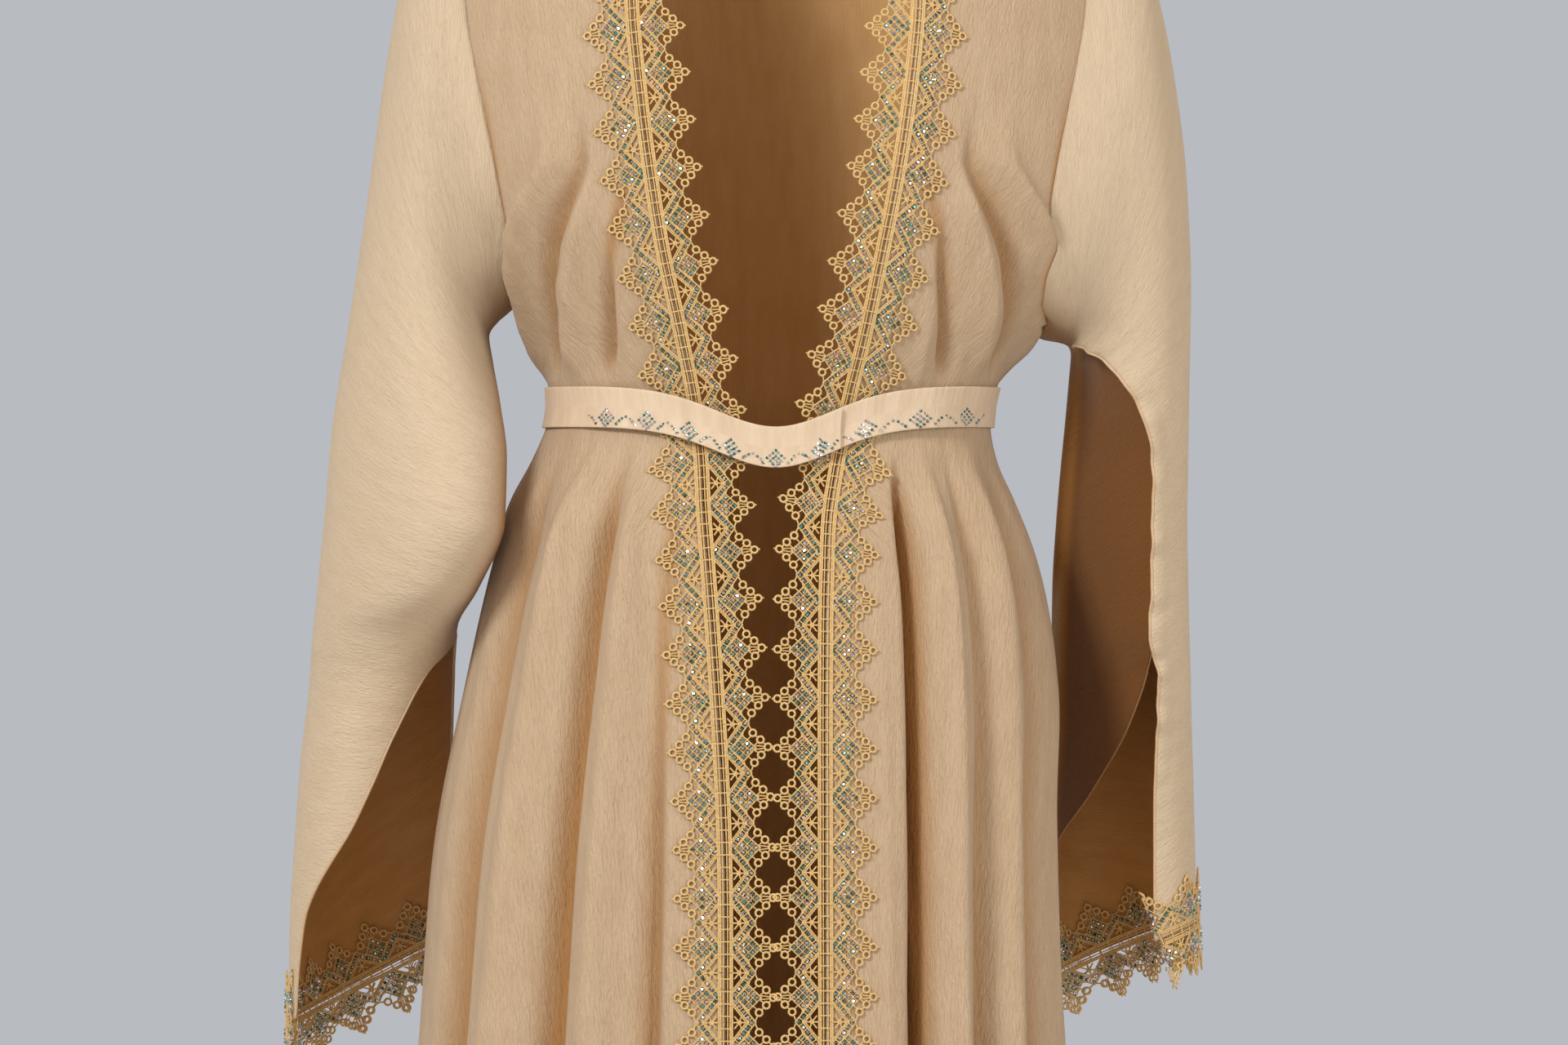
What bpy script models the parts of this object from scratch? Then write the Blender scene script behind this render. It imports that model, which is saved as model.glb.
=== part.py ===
"""An open-front abaya cloak, worn and belted, as the pieces that a maker cuts and sews.

Metres, +Z up. The wearer faces -Y, so the wearer's left is +X. The origin lies between the
two high points of the shoulder seams, where the wearer carries the cloak. A "drop" is a
distance below that point. Angles go round the body from the centre front, + to the left.
"""

import math

import bpy
import numpy as np

# Cloth and trim
CLOTH = 0.002
LACE = 0.0015
BELT_CLOTH = 0.002
SEAM_GAP = 0.0003
LACE_GAP = 0.0015
# side: gap outside the cuff's cloth, gap inside it
CUFF_LACE_GAPS = {"right": (0.0025, 0.0010), "left": (0.0044, 0.0009)}
BELT_GAP = 0.0013
BELT_GAP_OVER_LACE = 0.0052

# Main lengths
HEM = 1.42
BELT_DROP = 0.416
BELT_WIDTH = 0.028
BELT_DIP = 0.029
BELT_DIP_ANGLE = math.radians(28)
BELT_DIP_REACH = 0.14

# Shoulders and neck
SHOULDER_TIP = 0.215
SHOULDER_SLOPE = 0.40
NECK_COLUMNS = 6
BACK_HALF_COLUMNS = 14
NECK_HALF = SHOULDER_TIP * NECK_COLUMNS / BACK_HALF_COLUMNS
NECK_BACK = 0.070
NECK_DROP = 0.015
FRONT_ROLL = 0.13
BACK_ROLL = 0.11
ARMPIT = {"right": 0.345, "left": 0.365}
SIGN = {"right": -1.0, "left": 1.0}

FRONT_COLUMNS = 16
SECTION_POWER = 2.3

# Share of the way from the shoulder seam to the armpit, for each row above the armpit
UPPER_ROWS = (0.0, 0.02, 0.075, 0.16, 0.28, 0.42, 0.57, 0.73, 0.87, 0.955, 1.0)
# Drops of the rows below the belt
SKIRT_ROWS = (0.452, 0.485, 0.53, 0.58, 0.64, 0.71, 0.78, 0.85, 0.93, 1.02, 1.12, 1.22, 1.32, HEM)

# drop, right half width, left half width, front depth, back depth
SECTIONS = (
    (0.00, 0.232, 0.232, 0.085, 0.080),
    (0.08, 0.234, 0.234, 0.104, 0.098),
    (0.14, 0.235, 0.235, 0.118, 0.108),
    (0.20, 0.232, 0.233, 0.126, 0.114),
    (0.25, 0.222, 0.226, 0.129, 0.116),
    (0.30, 0.203, 0.212, 0.127, 0.115),
    (0.33, 0.188, 0.198, 0.123, 0.114),
    (0.36, 0.171, 0.180, 0.117, 0.112),
    (0.39, 0.160, 0.158, 0.109, 0.108),
    (0.42, 0.157, 0.149, 0.103, 0.105),
    (0.45, 0.168, 0.152, 0.108, 0.111),
    (0.48, 0.184, 0.163, 0.117, 0.124),
    (0.53, 0.198, 0.180, 0.128, 0.136),
    (0.61, 0.216, 0.193, 0.138, 0.146),
    (0.70, 0.234, 0.191, 0.148, 0.158),
    (0.85, 0.247, 0.195, 0.160, 0.170),
    (1.15, 0.272, 0.235, 0.185, 0.195),
    (HEM, 0.290, 0.262, 0.205, 0.215),
)

# drop, distance of the armhole's seam from the centre line
ARMHOLE = (
    (0.05, 0.215),
    (0.09, 0.2145),
    (0.14, 0.213),
    (0.20, 0.203),
    (0.25, 0.193),
    (0.29, 0.186),
    (0.32, 0.182),
)

# drop, distance of the right and of the left front edge from the centre line
FRONT_EDGES = (
    (0.00, NECK_HALF, NECK_HALF),
    (0.07, 0.0960, 0.0960),
    (0.14, 0.0980, 0.0970),
    (0.195, 0.0930, 0.0920),
    (0.251, 0.0860, 0.0840),
    (0.307, 0.0770, 0.0730),
    (0.362, 0.0640, 0.0600),
    (0.401, 0.0555, 0.0490),
    (0.44, 0.0510, 0.0420),
    (0.473, 0.0495, 0.0370),
    (0.53, 0.0456, 0.0345),
    (0.61, 0.0400, 0.0335),
    (0.70, 0.0352, 0.0335),
    (0.85, 0.0338, 0.0338),
    (HEM, 0.0338, 0.0338),
)

# angle at the waist, at the hem, half width in degrees, height at drops 0.60, 0.85 and the hem
SKIRT_FOLDS = (
    (-24, -22, 5.0, 0.002, 0.004, 0.006),
    (-30, -28, 5.0, -0.007, -0.009, -0.010),
    (-43, -40, 7.0, 0.006, 0.009, 0.013),
    (-54, -51, 6.0, -0.008, -0.011, -0.013),
    (-63, -62, 6.0, 0.006, 0.009, 0.012),
    (-72, -72, 6.0, -0.006, -0.009, -0.012),
    (-103, -102, 7.0, -0.006, -0.011, -0.014),
    (-117, -116, 7.0, 0.005, 0.010, 0.014),
    (-131, -130, 8.0, -0.006, -0.011, -0.013),
    (-146, -147, 8.0, 0.006, 0.011, 0.014),
    (-163, -163, 8.0, -0.005, -0.010, -0.012),
    (178, 178, 8.0, 0.006, 0.010, 0.013),
    (161, 161, 7.0, -0.007, -0.012, -0.015),
    (147, 146, 8.0, 0.005, 0.010, 0.014),
    (131, 132, 7.0, -0.006, -0.010, -0.014),
    (117, 118, 8.0, 0.006, 0.010, 0.013),
    (103, 103, 7.0, -0.005, -0.009, -0.012),
    (29, 21, 4.5, 0.005, 0.007, 0.008),
    (38, 25, 4.5, -0.014, -0.018, -0.016),
    (47, 31, 5.0, 0.007, 0.010, 0.012),
    (58, 39, 5.0, -0.004, -0.005, -0.009),
    (65, 46, 5.0, 0.005, 0.008, 0.011),
    (74, 57, 6.0, -0.006, -0.009, -0.012),
    (84, 70, 7.0, 0.003, 0.006, 0.010),
)

# angle at the waist, at the bust, half width in degrees, height a hand above the belt
BODICE_FOLDS = (
    (-76, -60, 6.0, 0.004),
    (-66, -51, 5.0, -0.004),
    (-56, -43, 5.0, 0.005),
    (-46, -36, 5.0, -0.003),
    (-104, -112, 7.0, 0.004),
    (-122, -128, 7.0, -0.004),
    (-142, -144, 8.0, 0.004),
    (140, 143, 8.0, 0.004),
    (121, 127, 7.0, -0.004),
    (103, 111, 7.0, 0.004),
    (76, 60, 6.0, 0.004),
    (66, 51, 5.0, -0.004),
    (56, 43, 5.0, 0.005),
    (46, 36, 5.0, -0.003),
)

# Sleeve rows from the armhole to the cuff, and one past it that carries the lace:
# outer x, outer drop, inner x, inner drop, depth, middle y, y shift of the inner side,
# angles of the front and of the back edge, which are one seam down to the slit's top.
# An angle is 0 at the inner side, 90 in front and 180 at the outer side.
SLEEVES = {
    "right": (
        (0.2150, 0.050, 0.1790, 0.3450, 0.077, 0.000, 0.000, 0, 0),
        (0.2375, 0.068, 0.1860, 0.3510, 0.078, 0.000, 0.000, 0, 0),
        (0.2580, 0.115, 0.1930, 0.3570, 0.080, 0.000, 0.000, 0, 0),
        (0.2720, 0.190, 0.1990, 0.3670, 0.082, 0.000, 0.000, 0, 0),
        (0.2830, 0.270, 0.1960, 0.3850, 0.082, 0.000, -0.010, 0, 0),
        (0.2960, 0.355, 0.1900, 0.4150, 0.080, 0.002, -0.035, 0, 0),
        (0.3080, 0.430, 0.1850, 0.4520, 0.078, 0.006, -0.060, 0, 0),
        (0.3140, 0.495, 0.1860, 0.4950, 0.078, 0.010, -0.070, 0, 0),
        (0.3200, 0.550, 0.2045, 0.5400, 0.078, 0.020, -0.055, 0, 0),
        (0.3235, 0.580, 0.2215, 0.5690, 0.078, 0.030, -0.020, 0, 0),
        (0.3260, 0.612, 0.2240, 0.5970, 0.078, 0.038, 0.000, 49, -12),
        (0.3320, 0.660, 0.2240, 0.6300, 0.078, 0.046, 0.010, 75, -20),
        (0.3370, 0.720, 0.2240, 0.6800, 0.078, 0.056, 0.015, 101, -25),
        (0.3410, 0.780, 0.2240, 0.7300, 0.078, 0.066, 0.020, 142, -28),
        (0.3420, 0.845, 0.2240, 0.7850, 0.078, 0.070, 0.020, 152, -28),
        (0.3430, 0.890, 0.2240, 0.8300, 0.078, 0.070, 0.020, 152, -28),
    ),
    "left": (
        (0.2150, 0.050, 0.1760, 0.3650, 0.077, 0.000, 0.000, 0, 0),
        (0.2400, 0.075, 0.1860, 0.3690, 0.078, 0.000, 0.000, 0, 0),
        (0.2620, 0.120, 0.1960, 0.3710, 0.080, 0.000, 0.000, 2, 2),
        (0.2760, 0.185, 0.2030, 0.3740, 0.080, 0.000, 0.005, 10, 10),
        (0.2850, 0.260, 0.2050, 0.3800, 0.079, 0.000, 0.010, 28, 28),
        (0.2880, 0.333, 0.2035, 0.4000, 0.078, 0.002, 0.015, 62, 62),
        (0.2870, 0.400, 0.2010, 0.4300, 0.077, 0.005, 0.020, 95, 95),
        (0.2865, 0.450, 0.1985, 0.4590, 0.076, 0.010, 0.026, 110, 110),
        (0.2860, 0.496, 0.1955, 0.4990, 0.075, 0.013, 0.032, 112, 112),
        (0.2868, 0.535, 0.1935, 0.5380, 0.075, 0.017, 0.038, 112, 112),
        (0.2878, 0.572, 0.1930, 0.5750, 0.075, 0.022, 0.042, 110, 110),
        (0.2890, 0.600, 0.1925, 0.6080, 0.075, 0.030, 0.046, 117, 99),
        (0.2900, 0.633, 0.1920, 0.6450, 0.075, 0.037, 0.050, 116, 80),
        (0.2915, 0.670, 0.1915, 0.6900, 0.075, 0.045, 0.052, 114, 47),
        (0.2930, 0.715, 0.1915, 0.7450, 0.075, 0.054, 0.052, 113, -5),
        (0.2950, 0.773, 0.1915, 0.8180, 0.075, 0.060, 0.052, 112, -12),
        (0.2970, 0.816, 0.1915, 0.8610, 0.075, 0.060, 0.052, 112, -12),
    ),
}
SLIT_TOP_ROW = {"right": 9, "left": 10}
SLEEVE_POWER = 2.1
# How far each of the first sleeve rows still keeps the armhole's own shape
CAP_BLEND = (1.0, 0.62, 0.25, 0.05)
# Share by which the cloth behind a swung seam is drawn flat, and the swing that gives all of it
TUCK_FULL = 0.85
TUCK_SWING = 1.2

# Drops of the fold line's bust end, of where the folds fade out, and the lengths over which
# they fade there and at the belt
BODICE_FOLD_BUST = 0.25
BODICE_FOLD_TOP = 0.24
BODICE_FOLD_FADE = 0.11
BODICE_FOLD_AT_BELT = 0.025
SKIRT_FOLD_FULL = 0.60
SKIRT_FOLD_KNEE = 0.85

# The lace keeps the cloth flat this far from the front edge, and lets it fold past the second
FLAT_UNDER_LACE = (0.035, 0.051)

# Lace: one repeat, as half widths across the band
LACE_PITCH = 0.0333
LACE_TIP = 0.0332
LACE_NOTCH = 0.0190
LACE_BAND = 0.0065
LACE_EYE_HALF = 0.0105
LACE_EYE_HEIGHT = 0.0096
LACE_TOP_START = 0.006
LACE_OVERHANG_COLUMNS = 5
LACE_CARRIER = 0.042
# How far a front panel's form goes on past its edge, for each unit of its own measure across
LACE_CARRIER_UNIT = 0.25
# The lace's extra lift at the shoulder, and the length over which it ends
LACE_SHOULDER_LIFT = 0.0030
LACE_SHOULDER_REACH = 0.20

# Belt: it starts under the front, goes once round and laps over its own start
BELT_START = math.radians(-8)
BELT_SWEEP = math.radians(390)
BELT_STEPS = 66
BELT_LAP_RISE = (math.radians(318), math.radians(344))
BELT_LAP_GAP = 0.0008
LACE_REACH_AT_BELT = (math.radians(50), math.radians(68))

CREPE_COLOUR = (0.62, 0.47, 0.32, 1.0)
BELT_COLOUR = (0.68, 0.54, 0.40, 1.0)
LACE_COLOUR = (0.55, 0.38, 0.14, 1.0)


def clear_scene():
    for thing in list(bpy.data.objects):
        bpy.data.objects.remove(thing)


def new_collection(name):
    collection = bpy.data.collections.new(name)
    bpy.context.scene.collection.children.link(collection)
    return collection


def new_material(name, colour, roughness):
    material = bpy.data.materials.new(name)
    material.use_nodes = True
    shader = material.node_tree.nodes["Principled BSDF"]
    shader.inputs["Base Color"].default_value = colour
    shader.inputs["Roughness"].default_value = roughness
    return material


def ease(share):
    """0 to 1 with a level start and end."""
    share = np.clip(share, 0.0, 1.0)
    return share * share * (3.0 - 2.0 * share)


def curve(rows, column, at):
    """A smooth line through one column of a table, read at places of its first column."""
    table = np.array(rows, float)
    places, values = table[:, 0], table[:, column]
    slopes = np.gradient(values, places)
    at = np.clip(at, places[0], places[-1])
    low = np.clip(np.searchsorted(places, at, side="right") - 1, 0, len(places) - 2)
    span = places[low + 1] - places[low]
    t = (at - places[low]) / span
    start = (2 * t**3 - 3 * t**2 + 1) * values[low] + (t**3 - 2 * t**2 + t) * span * slopes[low]
    end = (3 * t**2 - 2 * t**3) * values[low + 1] + (t**3 - t**2) * span * slopes[low + 1]
    return start + end


def unit(vectors):
    return vectors / np.maximum(np.linalg.norm(vectors, axis=-1, keepdims=True), 1e-12)


def skirt_folds(angle, drop):
    """How far the skirt's folds lift the cloth, outwards, at each angle and drop."""
    height = np.zeros(np.broadcast(angle, drop).shape)
    start = BELT_DROP + BELT_WIDTH / 2
    growth = ease((drop - start) / (SKIRT_FOLD_FULL - start))
    for waist, hem, half_width, at_hip, at_knee, at_hem in SKIRT_FOLDS:
        middle = np.interp(drop, (BELT_DROP, HEM), (waist, hem))
        away = (np.degrees(angle) - middle + 180.0) % 360.0 - 180.0
        rise = np.interp(drop, (SKIRT_FOLD_FULL, SKIRT_FOLD_KNEE, HEM), (at_hip, at_knee, at_hem))
        height = height + growth * rise * np.exp(-2.3 * (away / half_width) ** 2)
    return height


def bodice_folds(angle, drop):
    """Soft folds that run up from the belt and fade below the bust."""
    height = np.zeros(np.broadcast(angle, drop).shape)
    top = BELT_DROP - BELT_WIDTH / 2
    grow = ease((top - drop) / BODICE_FOLD_AT_BELT)
    grow = grow * ease((drop - BODICE_FOLD_TOP) / BODICE_FOLD_FADE)
    for waist, bust, half_width, rise in BODICE_FOLDS:
        middle = np.interp(drop, (BODICE_FOLD_BUST, BELT_DROP), (bust, waist))
        away = (np.degrees(angle) - middle + 180.0) % 360.0 - 180.0
        height = height + grow * rise * np.exp(-2.3 * (away / half_width) ** 2)
    return height


def dip(angle, drop):
    """The belt, and the rows near it, sit lower at the centre front."""
    near = ease(1.0 - np.abs(drop - BELT_DROP) / BELT_DIP_REACH)
    return BELT_DIP * np.exp(-((angle / BELT_DIP_ANGLE) ** 2)) * near


def half_sizes(angle, drop):
    """Half width and depth of the body's section on the side of the angle."""
    half = np.where(angle < 0, curve(SECTIONS, 1, drop), curve(SECTIONS, 2, drop))
    front = np.abs(angle) <= math.pi / 2
    depth = np.where(front, curve(SECTIONS, 3, drop), curve(SECTIONS, 4, drop))
    return half, depth


def ring_radius(angle, drop):
    half, depth = half_sizes(angle, drop)
    across = (np.abs(np.sin(angle)) / half) ** SECTION_POWER
    along = (np.abs(np.cos(angle)) / depth) ** SECTION_POWER
    return (across + along) ** (-1.0 / SECTION_POWER)


def depth_at(x, half, depth):
    """How far in front of the side line, or behind it, the section lies at x."""
    inside = np.clip(1.0 - (np.abs(x) / half) ** SECTION_POWER, 0.0, 1.0)
    return depth * inside ** (1.0 / SECTION_POWER)


def armhole_x(side, drop):
    """The armhole's seam, which runs into the side seam at the armpit."""
    armpit = ARMPIT[side]
    width = curve(SECTIONS, 1 if side == "right" else 2, armpit)
    return curve(ARMHOLE + ((armpit, float(width)),), 1, drop)


def row_levels(armpit):
    """Rows from the shoulder, level 0, past the armpit, level 1, to the hem, level 2."""
    top = BELT_DROP - BELT_WIDTH / 2
    bottom = BELT_DROP + BELT_WIDTH / 2
    waist = [armpit + (top - armpit) * share for share in (0.33, 0.67)]
    drops = waist + [top, BELT_DROP, bottom] + list(SKIRT_ROWS)
    below = [1.0 + (drop - armpit) / (HEM - armpit) for drop in drops]
    return list(UPPER_ROWS) + below


def drop_of(level, top, armpit):
    upper = top + (armpit - top) * np.clip(level, 0.0, 1.0)
    return np.where(level <= 1.0, upper, armpit + (HEM - armpit) * (level - 1.0))


def roll(drop, top, reach):
    """Share of the full depth reached below a shoulder seam, as a quarter circle."""
    share = np.clip((drop - top) / reach, 0.0, 1.0)
    return np.sqrt(1.0 - (1.0 - share) ** 2)


def lifted(x, y, drop, folded=1.0):
    """A point of the plain form, moved out by the folds and down by the belt's dip."""
    angle = np.arctan2(x, -y)
    radius = np.maximum(np.hypot(x, y), 1e-6)
    grown = 1.0 + folded * (skirt_folds(angle, drop) + bodice_folds(angle, drop)) / radius
    return np.stack([x * grown, y * grown, -(drop + dip(angle, drop))], axis=-1)


def front_surface(side, across, level):
    """A front panel: across is 0 at the front edge and 1 at the side, level as above."""
    sign, armpit = SIGN[side], ARMPIT[side]
    width_column = 1 if side == "right" else 2
    across, level = np.broadcast_arrays(np.asarray(across, float), np.asarray(level, float))
    top_x = NECK_HALF + (SHOULDER_TIP - NECK_HALF) * across
    top = SHOULDER_SLOPE * np.maximum(top_x - NECK_HALF, 0.0)
    drop = drop_of(level, top, armpit)
    half, depth = curve(SECTIONS, width_column, drop), curve(SECTIONS, 3, drop)
    edge = curve(FRONT_EDGES, width_column, drop)
    side_x = np.where(level < 1.0, np.minimum(armhole_x(side, drop), half), half)
    edge_angle = np.arctan2(edge, depth_at(edge, half, depth))
    side_angle = np.arctan2(side_x, depth_at(side_x, half, depth))
    angle = edge_angle + (side_angle - edge_angle) * across
    radius = ((np.abs(np.sin(angle)) / half) ** SECTION_POWER
              + (np.abs(np.cos(angle)) / depth) ** SECTION_POWER) ** (-1.0 / SECTION_POWER)
    straight = edge + (side_x - edge) * across
    x = straight + (radius * np.sin(angle) - straight) * ease(level)
    y = -depth_at(x, half, depth) * roll(drop, top, FRONT_ROLL)
    flat, free = FLAT_UNDER_LACE
    folded = ease((x - edge - flat) / (free - flat))
    return lifted(sign * x, y, drop, folded)


def back_surface(across, level):
    """The back panel: across runs from -1 at the right side to 1 at the left side."""
    across, level = np.broadcast_arrays(np.asarray(across, float), np.asarray(level, float))
    armpit = back_armpit(across)
    x_top = SHOULDER_TIP * across
    neck = np.clip(1.0 - (x_top / NECK_HALF) ** 2, 0.0, 1.0)
    top = NECK_DROP * neck + SHOULDER_SLOPE * np.maximum(np.abs(x_top) - NECK_HALF, 0.0)
    y_top = NECK_BACK * np.sqrt(neck)
    drop = drop_of(level, top, armpit)
    right = across < 0
    half = np.where(right, curve(SECTIONS, 1, drop), curve(SECTIONS, 2, drop))
    depth = curve(SECTIONS, 4, drop)
    arm = np.where(right, armhole_x("right", drop), armhole_x("left", drop))
    side_x = np.where(level < 1.0, np.minimum(arm, half), half)
    side_angle = np.arctan2(side_x, depth_at(side_x, half, depth))
    angle = side_angle * np.abs(across)
    radius = ((np.abs(np.sin(angle)) / half) ** SECTION_POWER
              + (np.abs(np.cos(angle)) / depth) ** SECTION_POWER) ** (-1.0 / SECTION_POWER)
    straight = side_x * np.abs(across)
    x = straight + (radius * np.sin(angle) - straight) * ease(level)
    y = y_top + (depth_at(x, half, depth) - y_top) * roll(drop, top, BACK_ROLL)
    return lifted(np.where(right, -x, x), y, drop)


def back_armpit(across):
    """The armpit's drop, which goes evenly from the right side to the left side."""
    return ARMPIT["right"] + (ARMPIT["left"] - ARMPIT["right"]) * (across + 1.0) / 2.0


def sleeve_section(side, row, angle):
    """A sleeve row's own oval, at angles from its inner side over the front."""
    outer_x, outer_drop, inner_x, inner_drop, depth, middle_y, shift, front, _ = SLEEVES[side][row]
    oval = 2.0 / SLEEVE_POWER
    swing = np.sign(np.cos(angle)) * np.abs(np.cos(angle)) ** oval
    bulge = np.sign(np.sin(angle)) * np.abs(np.sin(angle)) ** oval
    x = (outer_x + inner_x) / 2 - (outer_x - inner_x) / 2 * swing
    drop = (outer_drop + inner_drop) / 2 - (outer_drop - inner_drop) / 2 * swing
    y = middle_y + shift * (1.0 + swing) / 2 - depth * bulge
    return np.stack([SIGN[side] * x, y, -drop], axis=-1)


def sleeve_row(side, row, columns):
    """One row of the sleeve's cloth, from its front edge round the outside to its back edge.

    Where the front edge has swung past the front, the cloth between it and the inner
    side is drawn flat, because it hangs from the seam's ridge.
    """
    front, back = (math.radians(value) for value in SLEEVES[side][row][7:9])
    angle = np.linspace(front, 2 * math.pi + back, columns + 1)
    points = sleeve_section(side, row, angle)
    beyond = angle - 2 * math.pi
    if back > 0:
        ridge = front
        share = np.clip(beyond / ridge, 0.0, 1.0)[:, None]
        inner_point = sleeve_section(side, row, np.array(0.0))
        ridge_point = sleeve_section(side, row, np.array(ridge))
        chord = inner_point + (ridge_point - inner_point) * share
        tuck = TUCK_FULL * ease(ridge / TUCK_SWING)
        points = np.where(beyond[:, None] > 0, points + (chord - points) * tuck, points)
    return points


def sleeve_grid(side, armhole):
    """All rows of a sleeve, from the armhole's own points down to the row past the cuff."""
    columns = len(armhole) - 1
    rows = [sleeve_row(side, row, columns) for row in range(len(SLEEVES[side]))]
    plain_start = rows[0].copy()
    for row, share in enumerate(CAP_BLEND):
        rows[row] = rows[row] + share * (armhole - plain_start)
    return np.array(rows)


def grid_normals(grid, outward):
    """A normal for each point of a grid, turned to the side that outward gives."""
    down = np.gradient(grid, axis=0)
    along = np.gradient(grid, axis=1)
    normals = unit(np.cross(down, along))
    middle = (grid.shape[0] // 2, grid.shape[1] // 2)
    if np.dot(normals[middle], outward) < 0:
        normals = -normals
    return normals


def sheet_mesh(name, outer, normals, thickness):
    """A closed wall: an outer grid, an inner one a thickness inside it, and four edges.

    Both grids are cut into triangles along the same, shorter diagonals, so that a warped
    place keeps its thickness.
    """
    rows, columns = outer.shape[:2]
    inner = outer - normals * thickness
    points = np.concatenate([outer.reshape(-1, 3), inner.reshape(-1, 3)])
    count = rows * columns
    faces = []
    for i in range(rows - 1):
        for j in range(columns - 1):
            corner = i * columns + j
            quad = (corner, corner + columns, corner + columns + 1, corner + 1)
            one = np.linalg.norm(points[quad[0]] - points[quad[2]])
            other = np.linalg.norm(points[quad[1]] - points[quad[3]])
            if one > other:
                quad = quad[1:] + quad[:1]
            faces += [(quad[0], quad[1], quad[2]), (quad[0], quad[2], quad[3])]
    for face in list(faces):
        faces.append(tuple(index + count for index in reversed(face)))
    rim = list(range(columns))
    rim += [i * columns + columns - 1 for i in range(1, rows)]
    rim += [(rows - 1) * columns + j for j in range(columns - 2, -1, -1)]
    rim += [i * columns for i in range(rows - 2, 0, -1)]
    for here, there in zip(rim, rim[1:] + rim[:1]):
        faces.append((here, there, there + count, here + count))
    row, column = rows // 2, columns // 2
    down = outer[row + 1, column] - outer[row, column]
    along = outer[row, column + 1] - outer[row, column]
    if np.dot(np.cross(down, along), normals[row, column]) < 0:
        faces = [tuple(reversed(face)) for face in faces]
    mesh = bpy.data.meshes.new(name)
    mesh.from_pydata(points.tolist(), [], faces)
    mesh.update()
    return mesh


def add_object(name, mesh, material, collection):
    mesh.materials.append(material)
    mesh.shade_smooth()
    thing = bpy.data.objects.new(name, mesh)
    collection.objects.link(thing)
    return thing


def level_at_seam(normals):
    """Normals without their part along Y, for edges whose seam lies in a plane of equal Y."""
    flat = normals.copy()
    flat[..., 1] = 0.0
    return unit(flat)


def front_grids(side):
    """Points and normals of a front panel."""
    levels = np.array(row_levels(ARMPIT[side]))[:, None]
    across = np.linspace(0.0, 1.0, FRONT_COLUMNS + 1)[None, :]
    grid = front_surface(side, across, levels)
    normals = grid_normals(grid, (SIGN[side], -1.0, 0.0))
    normals[0] = level_at_seam(normals[0])
    seam = len(UPPER_ROWS) - 1
    normals[seam:, -1] = level_at_seam(normals[seam:, -1])
    return grid, normals


def back_grids():
    """Points and normals of the back panel."""
    across = np.linspace(-1.0, 1.0, 2 * BACK_HALF_COLUMNS + 1)
    levels = np.array([row_levels(back_armpit(value)) for value in across]).T
    grid = back_surface(across[None, :], levels)
    normals = grid_normals(grid, (0.0, 1.0, 0.0))
    seam = len(UPPER_ROWS) - 1
    shoulder = np.abs(np.arange(-BACK_HALF_COLUMNS, BACK_HALF_COLUMNS + 1)) >= NECK_COLUMNS
    normals[0, shoulder] = level_at_seam(normals[0, shoulder])
    for column in (0, -1):
        normals[seam:, column] = level_at_seam(normals[seam:, column])
    return grid, normals


def armhole_loop(front, back, column):
    """The armhole from the armpit up the front panel, over the tip and down the back."""
    last = len(UPPER_ROWS) - 1
    up = [front[row, -1] for row in range(last, -1, -1)]
    down = [back[row, column] for row in range(1, last + 1)]
    return np.array(up + down)


def give_back(loop, front, back, column):
    """Write values of the armhole's loop back to the two panels."""
    last = len(UPPER_ROWS) - 1
    for place in range(last + 1):
        front[last - place, -1] = loop[place]
        back[place, column] = loop[last + place]


def split_seam(grid, normals, last_seam_row):
    """Part a sleeve's two edges by the seam gap, with one shared normal, down to the slit."""
    for row in range(last_seam_row + 1):
        across = unit(grid[row, 1] - grid[row, -2])
        shared = normals[row, 0] + normals[row, -1]
        shared = unit(shared - across * np.dot(shared, across))
        normals[row, 0] = shared
        normals[row, -1] = shared
        grid[row, 0] += across * SEAM_GAP / 2
        grid[row, -1] -= across * SEAM_GAP / 2


def part_panels(front, back, column):
    """Open the seam gap at the shoulder and the side between a front panel and the back."""
    seam = len(UPPER_ROWS) - 1
    front[0, :, 1] -= SEAM_GAP / 2
    front[seam:, -1, 1] -= SEAM_GAP / 2
    back[seam:, column, 1] += SEAM_GAP / 2


def carrier_sample(carrier, along, across):
    """A point and a normal of a carrier grid, by distances along its edge and across it.

    A carrier holds points, normals and the column of its edge. Its rows cross the edge.
    """
    grid, normals, edge = carrier
    steps = np.linalg.norm(np.diff(grid[:, edge], axis=0), axis=1)
    reached = np.concatenate([[0.0], np.cumsum(steps)])

    def row_line(distance):
        row = int(np.clip(np.searchsorted(reached, distance, side="right") - 1, 0, len(steps) - 1))
        share = (distance - reached[row]) / steps[row]
        line = grid[row] + (grid[row + 1] - grid[row]) * share
        turned = normals[row] + (normals[row + 1] - normals[row]) * np.clip(share, 0, 1)
        heading = unit(grid[row + 1, edge] - grid[row, edge])
        return line, turned, heading

    line, _, heading = row_line(along)
    slant = float(np.dot(unit(line[edge + 1] - line[edge - 1]), heading))
    stretch = math.sqrt(1.0 - slant * slant)
    line, turned, _ = row_line(along - across * slant / stretch)
    distance = abs(across) / stretch
    step = 1 if across >= 0 else -1
    column = edge
    while True:
        after = column + step
        length = np.linalg.norm(line[after] - line[column])
        last = after + step < 0 or after + step >= len(line)
        if distance <= length or last:
            share = distance / length
            point = line[column] + (line[after] - line[column]) * share
            normal = turned[column] + (turned[after] - turned[column]) * min(share, 1.0)
            return point, unit(normal)
        distance -= length
        column = after


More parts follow.
